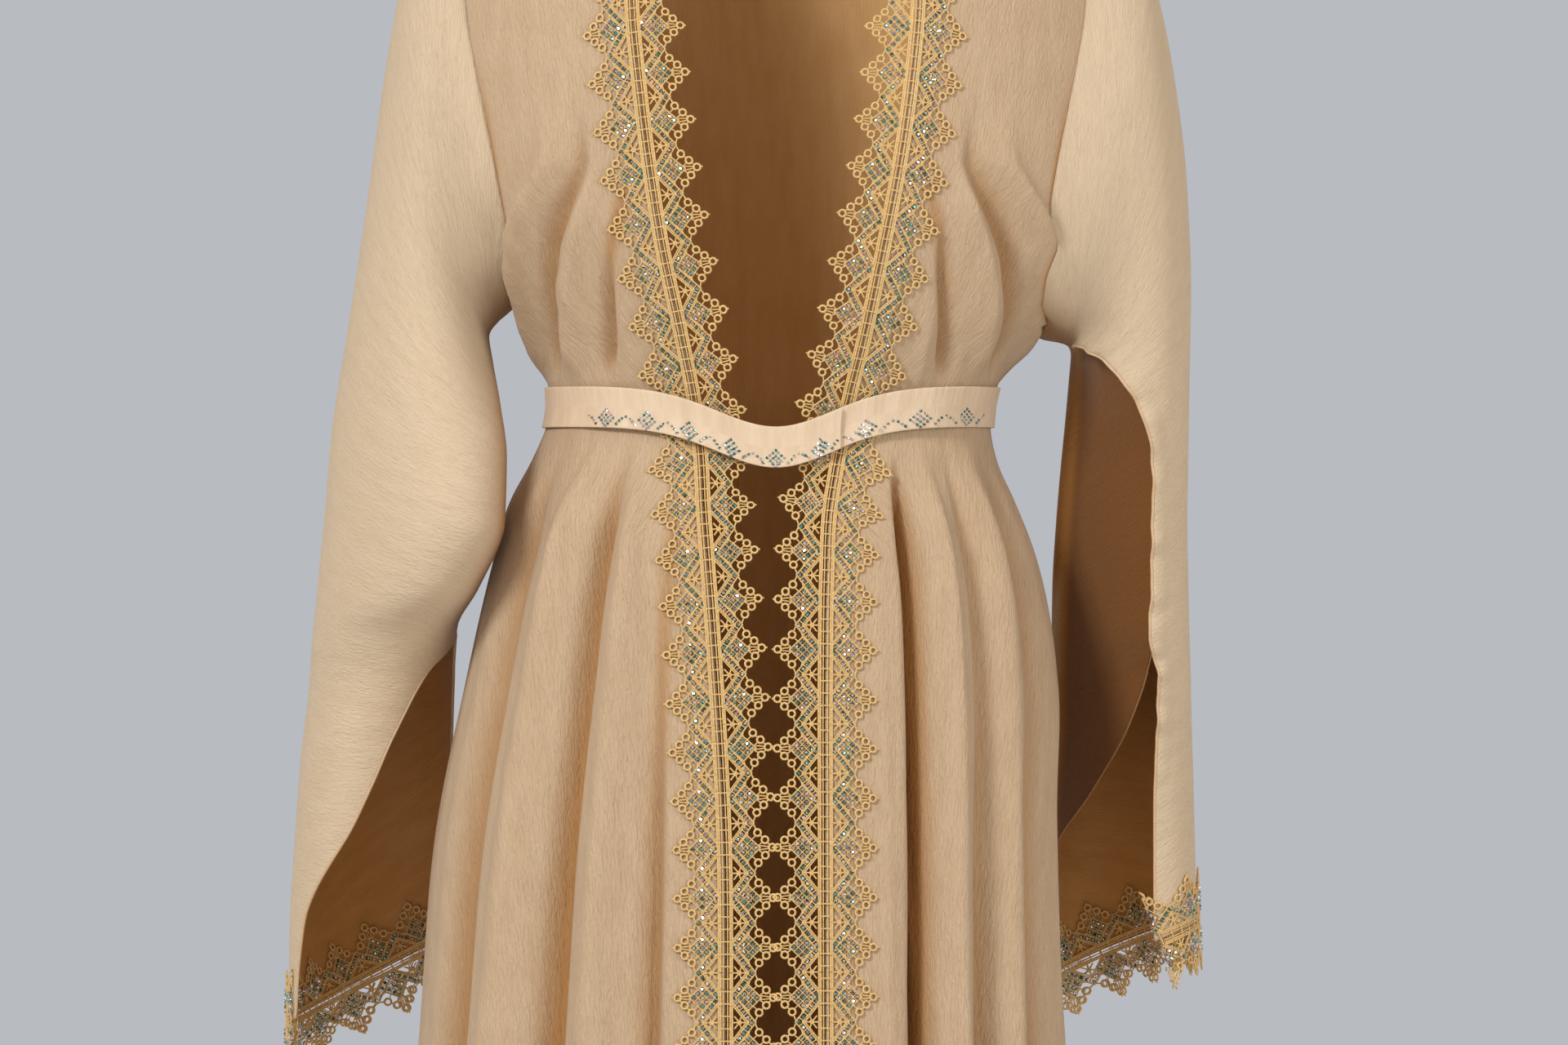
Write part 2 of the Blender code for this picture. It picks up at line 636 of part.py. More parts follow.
def lace_mesh(name, carrier, start, length, lift):
    """A strip of pointed lace with its eyes cut through, on a carrier's form."""
    repeats = max(1, round(length / LACE_PITCH))
    pitch = length / repeats
    points, faces = [], []

    def spot(along, across):
        point, normal = carrier_sample(carrier, start + along, across)
        points.append(point + normal * lift(start + along))
        return len(points) - 1

    def cross_line(along):
        return [spot(along, across) for across in (-LACE_TIP, -LACE_BAND, LACE_BAND, LACE_TIP)]

    before = cross_line(0.0)
    for repeat in range(repeats):
        begin, middle = repeat * pitch, (repeat + 0.5) * pitch
        after = cross_line(begin + pitch)
        eye_start, eye_end = {}, {}
        for hand in (-1, 1):
            band = hand * LACE_BAND
            eye_start[hand] = spot(middle - LACE_EYE_HALF, band)
            eye_end[hand] = spot(middle + LACE_EYE_HALF, band)
            eye_top = spot(middle, band + hand * LACE_EYE_HEIGHT)
            notch = spot(middle, hand * LACE_NOTCH)
            tip, root = (0, 1) if hand < 0 else (3, 2)
            first = (before[root], before[tip], notch, eye_top, eye_start[hand])
            second = (eye_end[hand], eye_top, notch, after[tip], after[root])
            faces += [first, second] if hand > 0 else [first[::-1], second[::-1]]
        faces.append((before[1], before[2], eye_start[1], eye_end[1], after[2], after[1],
                      eye_end[-1], eye_start[-1]))
        before = after
    mesh = bpy.data.meshes.new(name)
    mesh.from_pydata([point.tolist() for point in points], [], faces)
    mesh.update()
    return mesh


def face_along(mesh, normal_near):
    """Turn a mesh's faces to the side that normal_near gives for the first of them."""
    first = mesh.polygons[0]
    if np.dot(np.array(first.normal), normal_near) < 0:
        mesh.flip_normals()


def thicken(thing, thickness, offset):
    wall = thing.modifiers.new("wall", "SOLIDIFY")
    wall.thickness = thickness
    wall.offset = offset
    wall.use_rim = True


def front_carrier(side):
    """The front panel's points near its front edge, and as many past the edge."""
    panel = np.linspace(0.0, 1.0, FRONT_COLUMNS + 1)
    levels = np.array(row_levels(ARMPIT[side]))[:, None]
    past = -np.linspace(LACE_CARRIER, 0.0, LACE_OVERHANG_COLUMNS + 1)[:-1] / LACE_CARRIER_UNIT
    across = np.concatenate([past, panel])[None, :]
    grid = front_surface(side, across, levels)
    normals = grid_normals(grid, (SIGN[side], -1.0, 0.0))
    return grid, normals, LACE_OVERHANG_COLUMNS


def lace_lift(along):
    """Lace stands off a little more where the panel rolls over the shoulder."""
    return LACE_GAP + LACE_SHOULDER_LIFT * float(ease(1.0 - along / LACE_SHOULDER_REACH))


def belt_path(step):
    """Angle and distance from the body of the belt's inner face, along its length."""
    swept = BELT_SWEEP * step / BELT_STEPS
    angle = (BELT_START + swept + math.pi) % (2 * math.pi) - math.pi
    near, far = LACE_REACH_AT_BELT
    over_lace = 1.0 - float(ease((abs(angle) - near) / (far - near)))
    gap = BELT_GAP + (BELT_GAP_OVER_LACE - BELT_GAP) * over_lace
    first, full = BELT_LAP_RISE
    lap = (BELT_CLOTH + BELT_LAP_GAP) * float(ease((swept - first) / (full - first)))
    return angle, gap + lap


def belt_mesh():
    """The belt's inner face as an open strip: three rows, at its edges and its middle."""
    rows = []
    for drop in (BELT_DROP - BELT_WIDTH / 2, BELT_DROP, BELT_DROP + BELT_WIDTH / 2):
        line = []
        for step in range(BELT_STEPS + 1):
            angle, gap = belt_path(step)
            radius = float(ring_radius(angle, drop)) + gap
            height = -(drop + float(dip(angle, drop)))
            line.append((radius * math.sin(angle), -radius * math.cos(angle), height))
        rows.append(line)
    points = [point for line in rows for point in line]
    width = BELT_STEPS + 1
    faces = []
    for row in range(2):
        for step in range(BELT_STEPS):
            corner = row * width + step
            faces.append((corner, corner + width, corner + width + 1, corner + 1))
    mesh = bpy.data.meshes.new("belt")
    mesh.from_pydata(points, [], faces)
    mesh.update()
    return mesh


def build_cloak():
    collection = new_collection("abaya_cloak")
    crepe = new_material("crepe", CREPE_COLOUR, 0.62)
    belt_cloth = new_material("belt_crepe", BELT_COLOUR, 0.55)
    gold_lace = new_material("gold_lace", LACE_COLOUR, 0.48)

    back, back_normals = back_grids()
    fronts = {side: front_grids(side) for side in SIGN}
    for side in SIGN:
        front, front_normals = fronts[side]
        column = 0 if side == "right" else -1
        loop = armhole_loop(front, back, column)
        sleeve = sleeve_grid(side, loop)
        sleeve_normals = grid_normals(sleeve, (0.0, 0.0, 0.0))
        outside = sleeve[6, sleeve.shape[1] // 2] - sleeve[6, 0]
        if np.dot(sleeve_normals[6, sleeve.shape[1] // 2], outside) < 0:
            sleeve_normals = -sleeve_normals
        body_side = armhole_loop(front_normals, back_normals, column)
        shared = unit(body_side + unit(sleeve_normals[0]))
        tip = len(UPPER_ROWS) - 1
        for place in (0, tip, 2 * tip):
            shared[place] = level_at_seam(shared[place])
        sleeve_normals[0] = shared
        give_back(shared, front_normals, back_normals, column)
        outward = unit(sleeve[1] - sleeve[0])
        outward = unit(outward - shared * np.sum(outward * shared, axis=1, keepdims=True))
        sleeve[0] = sleeve[0] + outward * SEAM_GAP
        split_seam(sleeve, sleeve_normals, SLIT_TOP_ROW[side])
        part_panels(front, back, column)

        panel = sheet_mesh(f"{side}_front", front, front_normals, CLOTH)
        add_object(f"{side}_front", panel, crepe, collection)
        tube = sheet_mesh(f"{side}_sleeve", sleeve[:-1], sleeve_normals[:-1], CLOTH)
        add_object(f"{side}_sleeve", tube, crepe, collection)
        build_front_lace(side, gold_lace, collection)
        build_cuff_lace(side, sleeve, sleeve_normals, gold_lace, collection)
    shoulder = np.abs(np.arange(-BACK_HALF_COLUMNS, BACK_HALF_COLUMNS + 1)) >= NECK_COLUMNS
    back[0, shoulder, 1] += SEAM_GAP / 2
    add_object("back", sheet_mesh("back", back, back_normals, CLOTH), crepe, collection)

    strip = belt_mesh()
    face_along(strip, (0.0, -1.0, 0.0))
    thicken(add_object("belt", strip, belt_cloth, collection), BELT_CLOTH, 1.0)


def build_front_lace(side, material, collection):
    carrier = front_carrier(side)
    edge = carrier[0][:, LACE_OVERHANG_COLUMNS]
    length = float(np.linalg.norm(np.diff(edge, axis=0), axis=1).sum())
    mesh = lace_mesh(f"{side}_front_lace", carrier, LACE_TOP_START, length - LACE_TOP_START, lace_lift)
    face_along(mesh, carrier[1][0, LACE_OVERHANG_COLUMNS])
    thicken(add_object(f"{side}_front_lace", mesh, material, collection), LACE, 1.0)


def build_cuff_lace(side, sleeve, normals, material, collection):
    """Two strips along the cuff, one on the outer and one on the inner face of the cloth."""
    grid = np.swapaxes(sleeve[-3:], 0, 1)
    turned = np.swapaxes(normals[-3:], 0, 1)
    carrier = (grid, turned, 1)
    length = float(np.linalg.norm(np.diff(grid[:, 1], axis=0), axis=1).sum())
    outside, inside = CUFF_LACE_GAPS[side]
    for face, lift, offset in (("outer", outside, 1.0), ("inner", -CLOTH - inside, -1.0)):
        name = f"{side}_cuff_lace_{face}"
        mesh = lace_mesh(name, carrier, 0.0, length, lambda along, lift=lift: lift)
        face_along(mesh, turned[0, 1])
        thicken(add_object(name, mesh, material, collection), LACE, offset)


clear_scene()
build_cloak()
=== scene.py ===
# %% [markdown]
# # An open-front abaya cloak, dressed around its pattern pieces
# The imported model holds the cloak's cut pieces as plain walls of cloth. This lesson makes
# each of them again as a fine sheet with its folds and its crinkle, and sews the gold lace,
# the stones and the belt on it. Metres, +Z up. The wearer faces -Y, so the wearer's left is
# +X. A "drop" is a distance below the high points of the shoulder seams.

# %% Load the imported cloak
import math

import bpy
import numpy as np
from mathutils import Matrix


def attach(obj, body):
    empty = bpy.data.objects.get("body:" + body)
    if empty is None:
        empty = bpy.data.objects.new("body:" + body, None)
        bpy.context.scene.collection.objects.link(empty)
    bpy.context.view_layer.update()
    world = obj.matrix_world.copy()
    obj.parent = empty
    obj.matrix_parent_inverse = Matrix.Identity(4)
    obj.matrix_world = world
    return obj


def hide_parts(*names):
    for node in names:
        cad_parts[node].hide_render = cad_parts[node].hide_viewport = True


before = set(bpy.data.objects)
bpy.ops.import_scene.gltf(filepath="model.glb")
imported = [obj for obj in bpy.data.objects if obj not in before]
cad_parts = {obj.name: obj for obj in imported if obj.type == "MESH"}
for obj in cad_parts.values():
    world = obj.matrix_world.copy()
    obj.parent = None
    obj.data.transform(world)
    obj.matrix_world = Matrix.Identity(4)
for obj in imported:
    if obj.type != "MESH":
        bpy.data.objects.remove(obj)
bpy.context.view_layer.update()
print("cut pieces:", sorted(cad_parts))

# %% [markdown]
# ## Tools for a smooth form
# A garment's form is known at a few heights only: how wide and deep it is there. A smooth
# line is drawn through those numbers, as a dressmaker draws a curve through marks. The even
# line never swings past its marks, which a seam's angle needs.

# %% Smooth lines and directions
SIDES = {"right": -1.0, "left": 1.0}


def ease(share):
    share = np.clip(share, 0.0, 1.0)
    return share * share * (3.0 - 2.0 * share)


def unit(vectors):
    return vectors / np.maximum(np.linalg.norm(vectors, axis=-1, keepdims=True), 1e-12)


def distances(line):
    """The distance along a line of points at each of them, from its first point."""
    steps = np.linalg.norm(np.diff(line, axis=0), axis=1)
    return np.concatenate([[0.0], np.cumsum(steps)])


def through_marks(places, values, slopes, at):
    at = np.clip(at, places[0], places[-1])
    low = np.clip(np.searchsorted(places, at, side="right") - 1, 0, len(places) - 2)
    span = places[low + 1] - places[low]
    t = (at - places[low]) / span
    start = (2 * t**3 - 3 * t**2 + 1) * values[low] + (t**3 - 2 * t**2 + t) * span * slopes[low]
    end = (3 * t**2 - 2 * t**3) * values[low + 1] + (t**3 - t**2) * span * slopes[low + 1]
    return start + end


def curve(rows, column, at):
    table = np.array(rows, float)
    return through_marks(table[:, 0], table[:, column],
                         np.gradient(table[:, column], table[:, 0]), np.asarray(at, float))


def even_curve(values, at):
    values = np.asarray(values, float)
    steps = np.diff(values)
    slopes = np.zeros(len(values))
    same = steps[1:] * steps[:-1] > 0
    total = np.where(same, steps[1:] + steps[:-1], 1.0)
    slopes[1:-1] = np.where(same, 2 * steps[1:] * steps[:-1] / total, 0.0)
    slopes[0], slopes[-1] = steps[0], steps[-1]
    places = np.arange(len(values), dtype=float)
    return through_marks(places, values, slopes, np.asarray(at, float))


print("a smooth line through 0, 1, 1:", even_curve((0, 1, 1), (0.5, 1.5)))

# %% [markdown]
# ## The body of the cloak
# These are the numbers that the pattern pieces were made from, in metres. The section at
# each drop is a soft oval, the belt draws it in at the waist, and the skirt widens to the
# hem. The fold tables say where each fold runs, how wide it is and how far it stands out.
# A thin sheet can be folded more sharply than the plain walls, so its folds are deeper.

# %% Sizes of the body
HEM = 1.42
BELT_DROP = 0.416
BELT_WIDTH = 0.028
BELT_DIP = 0.029
BELT_DIP_ANGLE = math.radians(28)
BELT_DIP_REACH = 0.14
SHOULDER_TIP = 0.215
SHOULDER_SLOPE = 0.40
NECK_HALF = SHOULDER_TIP * 6 / 14
NECK_BACK = 0.070
NECK_DROP = 0.015
FRONT_ROLL = 0.13
BACK_ROLL = 0.11
ARMPIT = {"right": 0.345, "left": 0.365}
SECTION_POWER = 2.3
# drop, right half width, left half width, front depth, back depth
SECTIONS = (
    (0.00, 0.232, 0.232, 0.085, 0.080), (0.08, 0.234, 0.234, 0.104, 0.098),
    (0.14, 0.235, 0.235, 0.118, 0.108), (0.20, 0.232, 0.233, 0.126, 0.114),
    (0.25, 0.222, 0.226, 0.129, 0.116), (0.30, 0.203, 0.212, 0.127, 0.115),
    (0.33, 0.188, 0.198, 0.123, 0.114), (0.36, 0.171, 0.180, 0.117, 0.112),
    (0.39, 0.160, 0.158, 0.109, 0.108), (0.42, 0.157, 0.149, 0.103, 0.105),
    (0.45, 0.168, 0.152, 0.108, 0.111), (0.48, 0.184, 0.163, 0.117, 0.124),
    (0.53, 0.198, 0.180, 0.128, 0.136), (0.61, 0.216, 0.193, 0.138, 0.146),
    (0.70, 0.234, 0.191, 0.148, 0.158), (0.85, 0.247, 0.195, 0.160, 0.170),
    (1.15, 0.272, 0.235, 0.185, 0.195), (HEM, 0.290, 0.262, 0.205, 0.215),
)
# drop, distance of the armhole's seam from the centre line
ARMHOLE = ((0.05, 0.215), (0.09, 0.2145), (0.14, 0.213), (0.20, 0.203),
           (0.25, 0.193), (0.29, 0.186), (0.32, 0.182))
# drop, distance of the right and of the left front edge from the centre line
FRONT_EDGES = (
    (0.00, NECK_HALF, NECK_HALF), (0.07, 0.0960, 0.0960), (0.14, 0.0980, 0.0970),
    (0.195, 0.0930, 0.0920), (0.251, 0.0860, 0.0840), (0.307, 0.0770, 0.0730),
    (0.362, 0.0640, 0.0600), (0.401, 0.0555, 0.0490), (0.44, 0.0510, 0.0420),
    (0.473, 0.0495, 0.0370), (0.53, 0.0456, 0.0345), (0.61, 0.0400, 0.0335),
    (0.70, 0.0352, 0.0335), (0.85, 0.0338, 0.0338), (HEM, 0.0338, 0.0338),
)
# angle at the waist, at the hem, half width in degrees, height at the hip, knee and hem
SKIRT_FOLDS = (
    (-24, -22, 4.0, 0.003, 0.005, 0.006), (-31, -28, 4.0, -0.008, -0.010, -0.011),
    (-41, -40, 5.0, 0.009, 0.011, 0.014), (-49, -51, 4.4, -0.010, -0.012, -0.014),
    (-58, -61, 4.8, 0.009, 0.011, 0.014), (-69, -72, 4.8, -0.008, -0.011, -0.013),
    (-103, -102, 7.0, -0.006, -0.011, -0.014), (-117, -116, 7.0, 0.005, 0.010, 0.014),
    (-131, -130, 8.0, -0.006, -0.011, -0.013), (-146, -147, 8.0, 0.006, 0.011, 0.014),
    (-163, -163, 8.0, -0.005, -0.010, -0.012), (178, 178, 8.0, 0.006, 0.010, 0.013),
    (161, 161, 7.0, -0.007, -0.012, -0.015), (147, 146, 8.0, 0.005, 0.010, 0.014),
    (131, 132, 7.0, -0.006, -0.010, -0.014), (117, 118, 8.0, 0.006, 0.010, 0.013),
    (103, 103, 7.0, -0.005, -0.009, -0.012), (29, 21, 3.4, 0.005, 0.007, 0.008),
    (41, 28, 3.6, -0.020, -0.024, -0.022), (49, 34, 4.0, 0.008, 0.011, 0.013),
    (58, 40, 3.4, -0.006, -0.009, -0.011), (65, 47, 4.6, 0.006, 0.009, 0.012),
    (74, 57, 6.0, -0.006, -0.009, -0.012), (84, 70, 7.0, 0.003, 0.006, 0.010),
)
# angle at the waist, at the bust, half width in degrees, height a hand above the belt
BODICE_FOLDS = (
    (-92, -57, 3.8, 0.008), (-80, -51, 3.6, -0.009), (-69, -45, 3.6, 0.008),
    (-58, -39, 3.2, -0.009), (-49, -34, 3.2, 0.005), (-104, -112, 7.0, 0.004),
    (-122, -128, 7.0, -0.004), (-142, -144, 8.0, 0.004), (140, 143, 8.0, 0.004),
    (121, 127, 7.0, -0.004), (103, 111, 7.0, 0.004), (92, 57, 3.8, 0.008),
    (80, 51, 3.6, -0.009), (69, 45, 3.6, 0.008), (58, 39, 3.2, -0.009), (49, 34, 3.2, 0.005),
)
FOLD_DEPTH = 1.3
FLAT_UNDER_LACE = (0.035, 0.051)

# %% [markdown]
# ## Folds, large and small
# Gathered crepe falls in broad folds, and between them it keeps many small ones, close
# together at the belt and wider below. The broad ones come from the tables. The small ones
# are a sum of waves round the body whose places wander a little on the way down.

# %% Lift of the cloth at each angle and drop
FOLD_FULL = 0.60
FOLD_KNEE = 0.85
SKIRT_FOLD_START = 0.085


def table_folds(table, angle, drop, places, heights_at):
    height = np.zeros(np.broadcast(angle, drop).shape)
    for first, second, half_width, *heights in table:
        middle = np.interp(drop, places, (first, second))
        away = (np.degrees(angle) - middle + 180.0) % 360.0 - 180.0
        rise = np.interp(drop, heights_at, heights)
        height = height + rise * np.exp(-2.3 * (away / half_width) ** 2)
    return height


def small_folds(angle, drop):
    rng = np.random.default_rng(7)
    height = 0.0
    for waves in range(34, 84, 5):
        phase, wander, pace = rng.uniform(0, 6.28), rng.uniform(0.4, 1.3), rng.uniform(3.0, 9.0)
        height = height + np.sin(waves * angle + phase + wander * np.sin(pace * drop + phase))
    below = ease((drop - BELT_DROP) / 0.10) * (1.0 - 0.45 * ease((drop - 0.55) / 0.4))
    above = ease((BELT_DROP - drop) / 0.05) * ease((drop - 0.16) / 0.20)
    return height * (0.00022 * below + 0.00016 * above)


def folds(angle, drop):
    belt_foot, belt_top = BELT_DROP + BELT_WIDTH / 2, BELT_DROP - BELT_WIDTH / 2
    skirt = table_folds(SKIRT_FOLDS, angle, drop, (BELT_DROP, HEM), (FOLD_FULL, FOLD_KNEE, HEM))
    skirt = skirt * ease((drop - belt_foot) / SKIRT_FOLD_START)
    rows = [(bust, waist, width, rise, rise) for waist, bust, width, rise in BODICE_FOLDS]
    bodice = table_folds(rows, angle, drop, (0.25, BELT_DROP), (0.0, 1.0))
    bodice = bodice * ease((belt_top - drop) / 0.025) * ease((drop - 0.20) / 0.09)
    return FOLD_DEPTH * (skirt + bodice) + small_folds(angle, drop)


def dip(angle, drop):
    near = ease(1.0 - np.abs(drop - BELT_DROP) / BELT_DIP_REACH)
    return BELT_DIP * np.exp(-((angle / BELT_DIP_ANGLE) ** 2)) * near


def lifted(x, y, drop, folded=1.0):
    angle = np.arctan2(x, -y)
    grown = 1.0 + folded * folds(angle, drop) / np.maximum(np.hypot(x, y), 1e-6)
    return np.stack([x * grown, y * grown, -(drop + dip(angle, drop))], axis=-1)


print("deepest fold at the knee:", folds(np.linspace(-3, 3, 400), 0.85).min().round(4))

# %% [markdown]
# ## Where each panel lies
# A front panel runs from its front edge to the side seam, and from the shoulder seam to the
# hem. The back runs from side to side. Each is a function: give it a share across and a
# level down, and it gives the point, so a sheet can be made as fine as the folds need.

# %% Surfaces of the panels
def depth_at(x, half, depth):
    inside = np.clip(1.0 - (np.abs(x) / half) ** SECTION_POWER, 0.0, 1.0)
    return depth * inside ** (1.0 / SECTION_POWER)


def oval_radius(angle, half, depth):
    across = (np.abs(np.sin(angle)) / half) ** SECTION_POWER
    return (across + (np.abs(np.cos(angle)) / depth) ** SECTION_POWER) ** (-1.0 / SECTION_POWER)


def armhole_x(side, drop):
    width = curve(SECTIONS, 1 if side == "right" else 2, ARMPIT[side])
    return curve(ARMHOLE + ((ARMPIT[side], float(width)),), 1, drop)


def drop_of(level, top, armpit):
    upper = top + (armpit - top) * np.clip(level, 0.0, 1.0)
    return np.where(level <= 1.0, upper, armpit + (HEM - armpit) * (level - 1.0))


def roll(drop, top, reach):
    return np.sqrt(1.0 - (1.0 - np.clip((drop - top) / reach, 0.0, 1.0)) ** 2)


def front_surface(side, across, level):
    column = 1 if side == "right" else 2
    across, level = np.broadcast_arrays(np.asarray(across, float), np.asarray(level, float))
    top_x = NECK_HALF + (SHOULDER_TIP - NECK_HALF) * across
    top = SHOULDER_SLOPE * np.maximum(top_x - NECK_HALF, 0.0)
    drop = drop_of(level, top, ARMPIT[side])
    half, depth = curve(SECTIONS, column, drop), curve(SECTIONS, 3, drop)
    edge = curve(FRONT_EDGES, column, drop)
    side_x = np.where(level < 1.0, np.minimum(armhole_x(side, drop), half), half)
    edge_angle = np.arctan2(edge, depth_at(edge, side_x, depth))
    angle = edge_angle + (math.pi / 2 - edge_angle) * across
    straight = edge + (side_x - edge) * across
    x = straight + (oval_radius(angle, side_x, depth) * np.sin(angle) - straight) * ease(level)
    y = -depth_at(x, half, depth) * roll(drop, top, FRONT_ROLL)
    flat, free = FLAT_UNDER_LACE
    return lifted(SIDES[side] * x, y, drop, ease((x - edge - flat) / (free - flat)))


def back_surface(across, level):
    across, level = np.broadcast_arrays(np.asarray(across, float), np.asarray(level, float))
    armpit = ARMPIT["right"] + (ARMPIT["left"] - ARMPIT["right"]) * (across + 1.0) / 2.0
    x_top = SHOULDER_TIP * across
    neck = np.clip(1.0 - (x_top / NECK_HALF) ** 2, 0.0, 1.0)
    top = NECK_DROP * neck + SHOULDER_SLOPE * np.maximum(np.abs(x_top) - NECK_HALF, 0.0)
    y_top = NECK_BACK * np.sqrt(neck)
    drop = drop_of(level, top, armpit)
    right = across < 0
    half = np.where(right, curve(SECTIONS, 1, drop), curve(SECTIONS, 2, drop))
    depth = curve(SECTIONS, 4, drop)
    arm = np.where(right, armhole_x("right", drop), armhole_x("left", drop))
    side_x = np.where(level < 1.0, np.minimum(arm, half), half)
    angle = math.pi / 2 * np.abs(across)
    straight = side_x * np.abs(across)
    x = straight + (oval_radius(angle, side_x, depth) * np.sin(angle) - straight) * ease(level)
    y = y_top + (depth_at(x, half, depth) - y_top) * roll(drop, top, BACK_ROLL)
    return lifted(np.where(right, -x, x), y, drop)


def body_levels(above, below):
    upper = 1.0 - np.cos(np.linspace(0.0, 1.0, above + 1) * math.pi / 2)
    return np.concatenate([upper, 1.0 + np.linspace(0.0, 1.0, below + 1)[1:]])


print("hem corner of the right front:", front_surface("right", 1.0, 2.0).round(3))

# %% [markdown]
# ## The sleeves
# Each wide sleeve starts at the armhole and is slit from about the elbow to the cuff. It is
# known at sixteen or so sections, as ovals whose two free edges swing apart below the slit.

# %% Sections of the sleeves
# outer x, outer drop, inner x, inner drop, depth, middle y, y shift of the inner side,
# angles of the front and of the back edge: 0 is the inner side, 90 the front, 180 outside
SLEEVES = {
    "right": (
        (0.2150, 0.050, 0.1790, 0.3450, 0.077, 0.000, 0.000, 0, 0),
        (0.2375, 0.068, 0.1860, 0.3510, 0.078, 0.000, 0.000, 0, 0),
        (0.2580, 0.115, 0.1930, 0.3570, 0.080, 0.000, 0.000, 0, 0),
        (0.2720, 0.190, 0.1990, 0.3670, 0.082, 0.000, 0.000, 0, 0),
        (0.2830, 0.270, 0.1960, 0.3850, 0.082, 0.000, -0.010, 0, 0),
        (0.2960, 0.355, 0.1900, 0.4150, 0.080, 0.002, -0.035, 0, 0),
        (0.3080, 0.430, 0.1850, 0.4520, 0.078, 0.006, -0.060, 0, 0),
        (0.3140, 0.495, 0.1860, 0.4950, 0.078, 0.010, -0.070, 0, 0),
        (0.3200, 0.550, 0.2045, 0.5400, 0.078, 0.020, -0.055, 0, 0),
        (0.3235, 0.580, 0.2215, 0.5690, 0.078, 0.030, -0.020, 0, 0),
        (0.3260, 0.612, 0.2240, 0.5970, 0.078, 0.038, 0.000, 49, -12),
        (0.3320, 0.660, 0.2240, 0.6300, 0.078, 0.046, 0.010, 75, -20),
        (0.3370, 0.720, 0.2240, 0.6800, 0.078, 0.056, 0.015, 101, -25),
        (0.3410, 0.780, 0.2240, 0.7300, 0.078, 0.066, 0.020, 142, -28),
        (0.3420, 0.845, 0.2240, 0.7850, 0.078, 0.070, 0.020, 152, -28),
        (0.3430, 0.890, 0.2240, 0.8300, 0.078, 0.070, 0.020, 152, -28),
    ),
    "left": (
        (0.2150, 0.050, 0.1760, 0.3650, 0.077, 0.000, 0.000, 0, 0),
        (0.2400, 0.075, 0.1860, 0.3690, 0.078, 0.000, 0.000, 0, 0),
        (0.2620, 0.120, 0.1960, 0.3710, 0.080, 0.000, 0.000, 2, 2),
        (0.2760, 0.185, 0.2030, 0.3740, 0.080, 0.000, 0.005, 10, 10),
        (0.2850, 0.260, 0.2050, 0.3800, 0.079, 0.000, 0.010, 28, 28),
        (0.2880, 0.333, 0.2035, 0.4000, 0.078, 0.002, 0.015, 62, 62),
        (0.2870, 0.400, 0.2010, 0.4300, 0.077, 0.005, 0.020, 95, 95),
        (0.2865, 0.450, 0.1985, 0.4590, 0.076, 0.010, 0.026, 110, 110),
        (0.2860, 0.496, 0.1955, 0.4990, 0.075, 0.013, 0.032, 112, 112),
        (0.2868, 0.535, 0.1935, 0.5380, 0.075, 0.017, 0.038, 112, 112),
        (0.2878, 0.572, 0.1930, 0.5750, 0.075, 0.022, 0.042, 110, 110),
        (0.2890, 0.600, 0.1925, 0.6080, 0.075, 0.030, 0.046, 117, 99),
        (0.2900, 0.633, 0.1920, 0.6450, 0.075, 0.037, 0.050, 116, 80),
        (0.2915, 0.670, 0.1915, 0.6900, 0.075, 0.045, 0.052, 114, 47),
        (0.2930, 0.715, 0.1915, 0.7450, 0.075, 0.054, 0.052, 113, -5),
        (0.2950, 0.773, 0.1915, 0.8180, 0.075, 0.060, 0.052, 112, -12),
        (0.2970, 0.816, 0.1915, 0.8610, 0.075, 0.060, 0.052, 112, -12),
    ),
}
SLIT_TOP_ROW = {"right": 9, "left": 10}
SLEEVE_POWER = 2.1
CAP_BLEND = (1.0, 0.62, 0.25, 0.05, 0.0)
# levels of the body at which the sleeve's twenty seam marks lie, from the shoulder down
SEAM_MARKS = (0.0, 0.02, 0.075, 0.16, 0.28, 0.42, 0.57, 0.73, 0.87, 0.955, 1.0)


def cuff_row(side):
    return len(SLEEVES[side]) - 2.0


def sleeve_points(side, share, row):
    """share runs from 0 at the sleeve's front edge round the outside to 1 at its back edge."""
    share, row = np.broadcast_arrays(np.asarray(share, float), np.asarray(row, float))
    table = np.array(SLEEVES[side], float)
    outer_x, outer_drop, inner_x, inner_drop, depth, middle_y, shift, front, back = (
        even_curve(table[:, column], row) for column in range(9))

    def oval(angle):
        power = 2.0 / SLEEVE_POWER
        swing = np.sign(np.cos(angle)) * np.abs(np.cos(angle)) ** power
        bulge = np.sign(np.sin(angle)) * np.abs(np.sin(angle)) ** power
        x = (outer_x + inner_x) / 2 - (outer_x - inner_x) / 2 * swing
        drop = (outer_drop + inner_drop) / 2 - (outer_drop - inner_drop) / 2 * swing
        y = middle_y + shift * (1.0 + swing) / 2 - depth * bulge
        return np.stack([SIDES[side] * x, y, -drop], axis=-1)

    front, back = np.radians(front), np.radians(back)
    angle = front + (2 * math.pi + back - front) * share
    points = oval(angle)
    beyond = angle - 2 * math.pi
    chord_share = np.clip(beyond / np.maximum(front, 1e-6), 0.0, 1.0)[..., None]
    chord = oval(np.zeros_like(angle)) * (1.0 - chord_share) + oval(front) * chord_share
    tuck = 0.85 * ease(front / 1.2)[..., None] * (beyond > 0)[..., None]
    return points + (chord - points) * tuck


def armhole_points(side, share):
    """The armhole from the armpit up the front panel, over the shoulder and down the back."""
    mark = np.abs(np.asarray(share, float) * 20.0 - 10.0)
    level = even_curve(SEAM_MARKS, mark)
    front = front_surface(side, np.ones_like(level), level)
    back = back_surface(np.full_like(level, SIDES[side]), level)
    return np.where((np.asarray(share) < 0.5)[..., None], front, back)


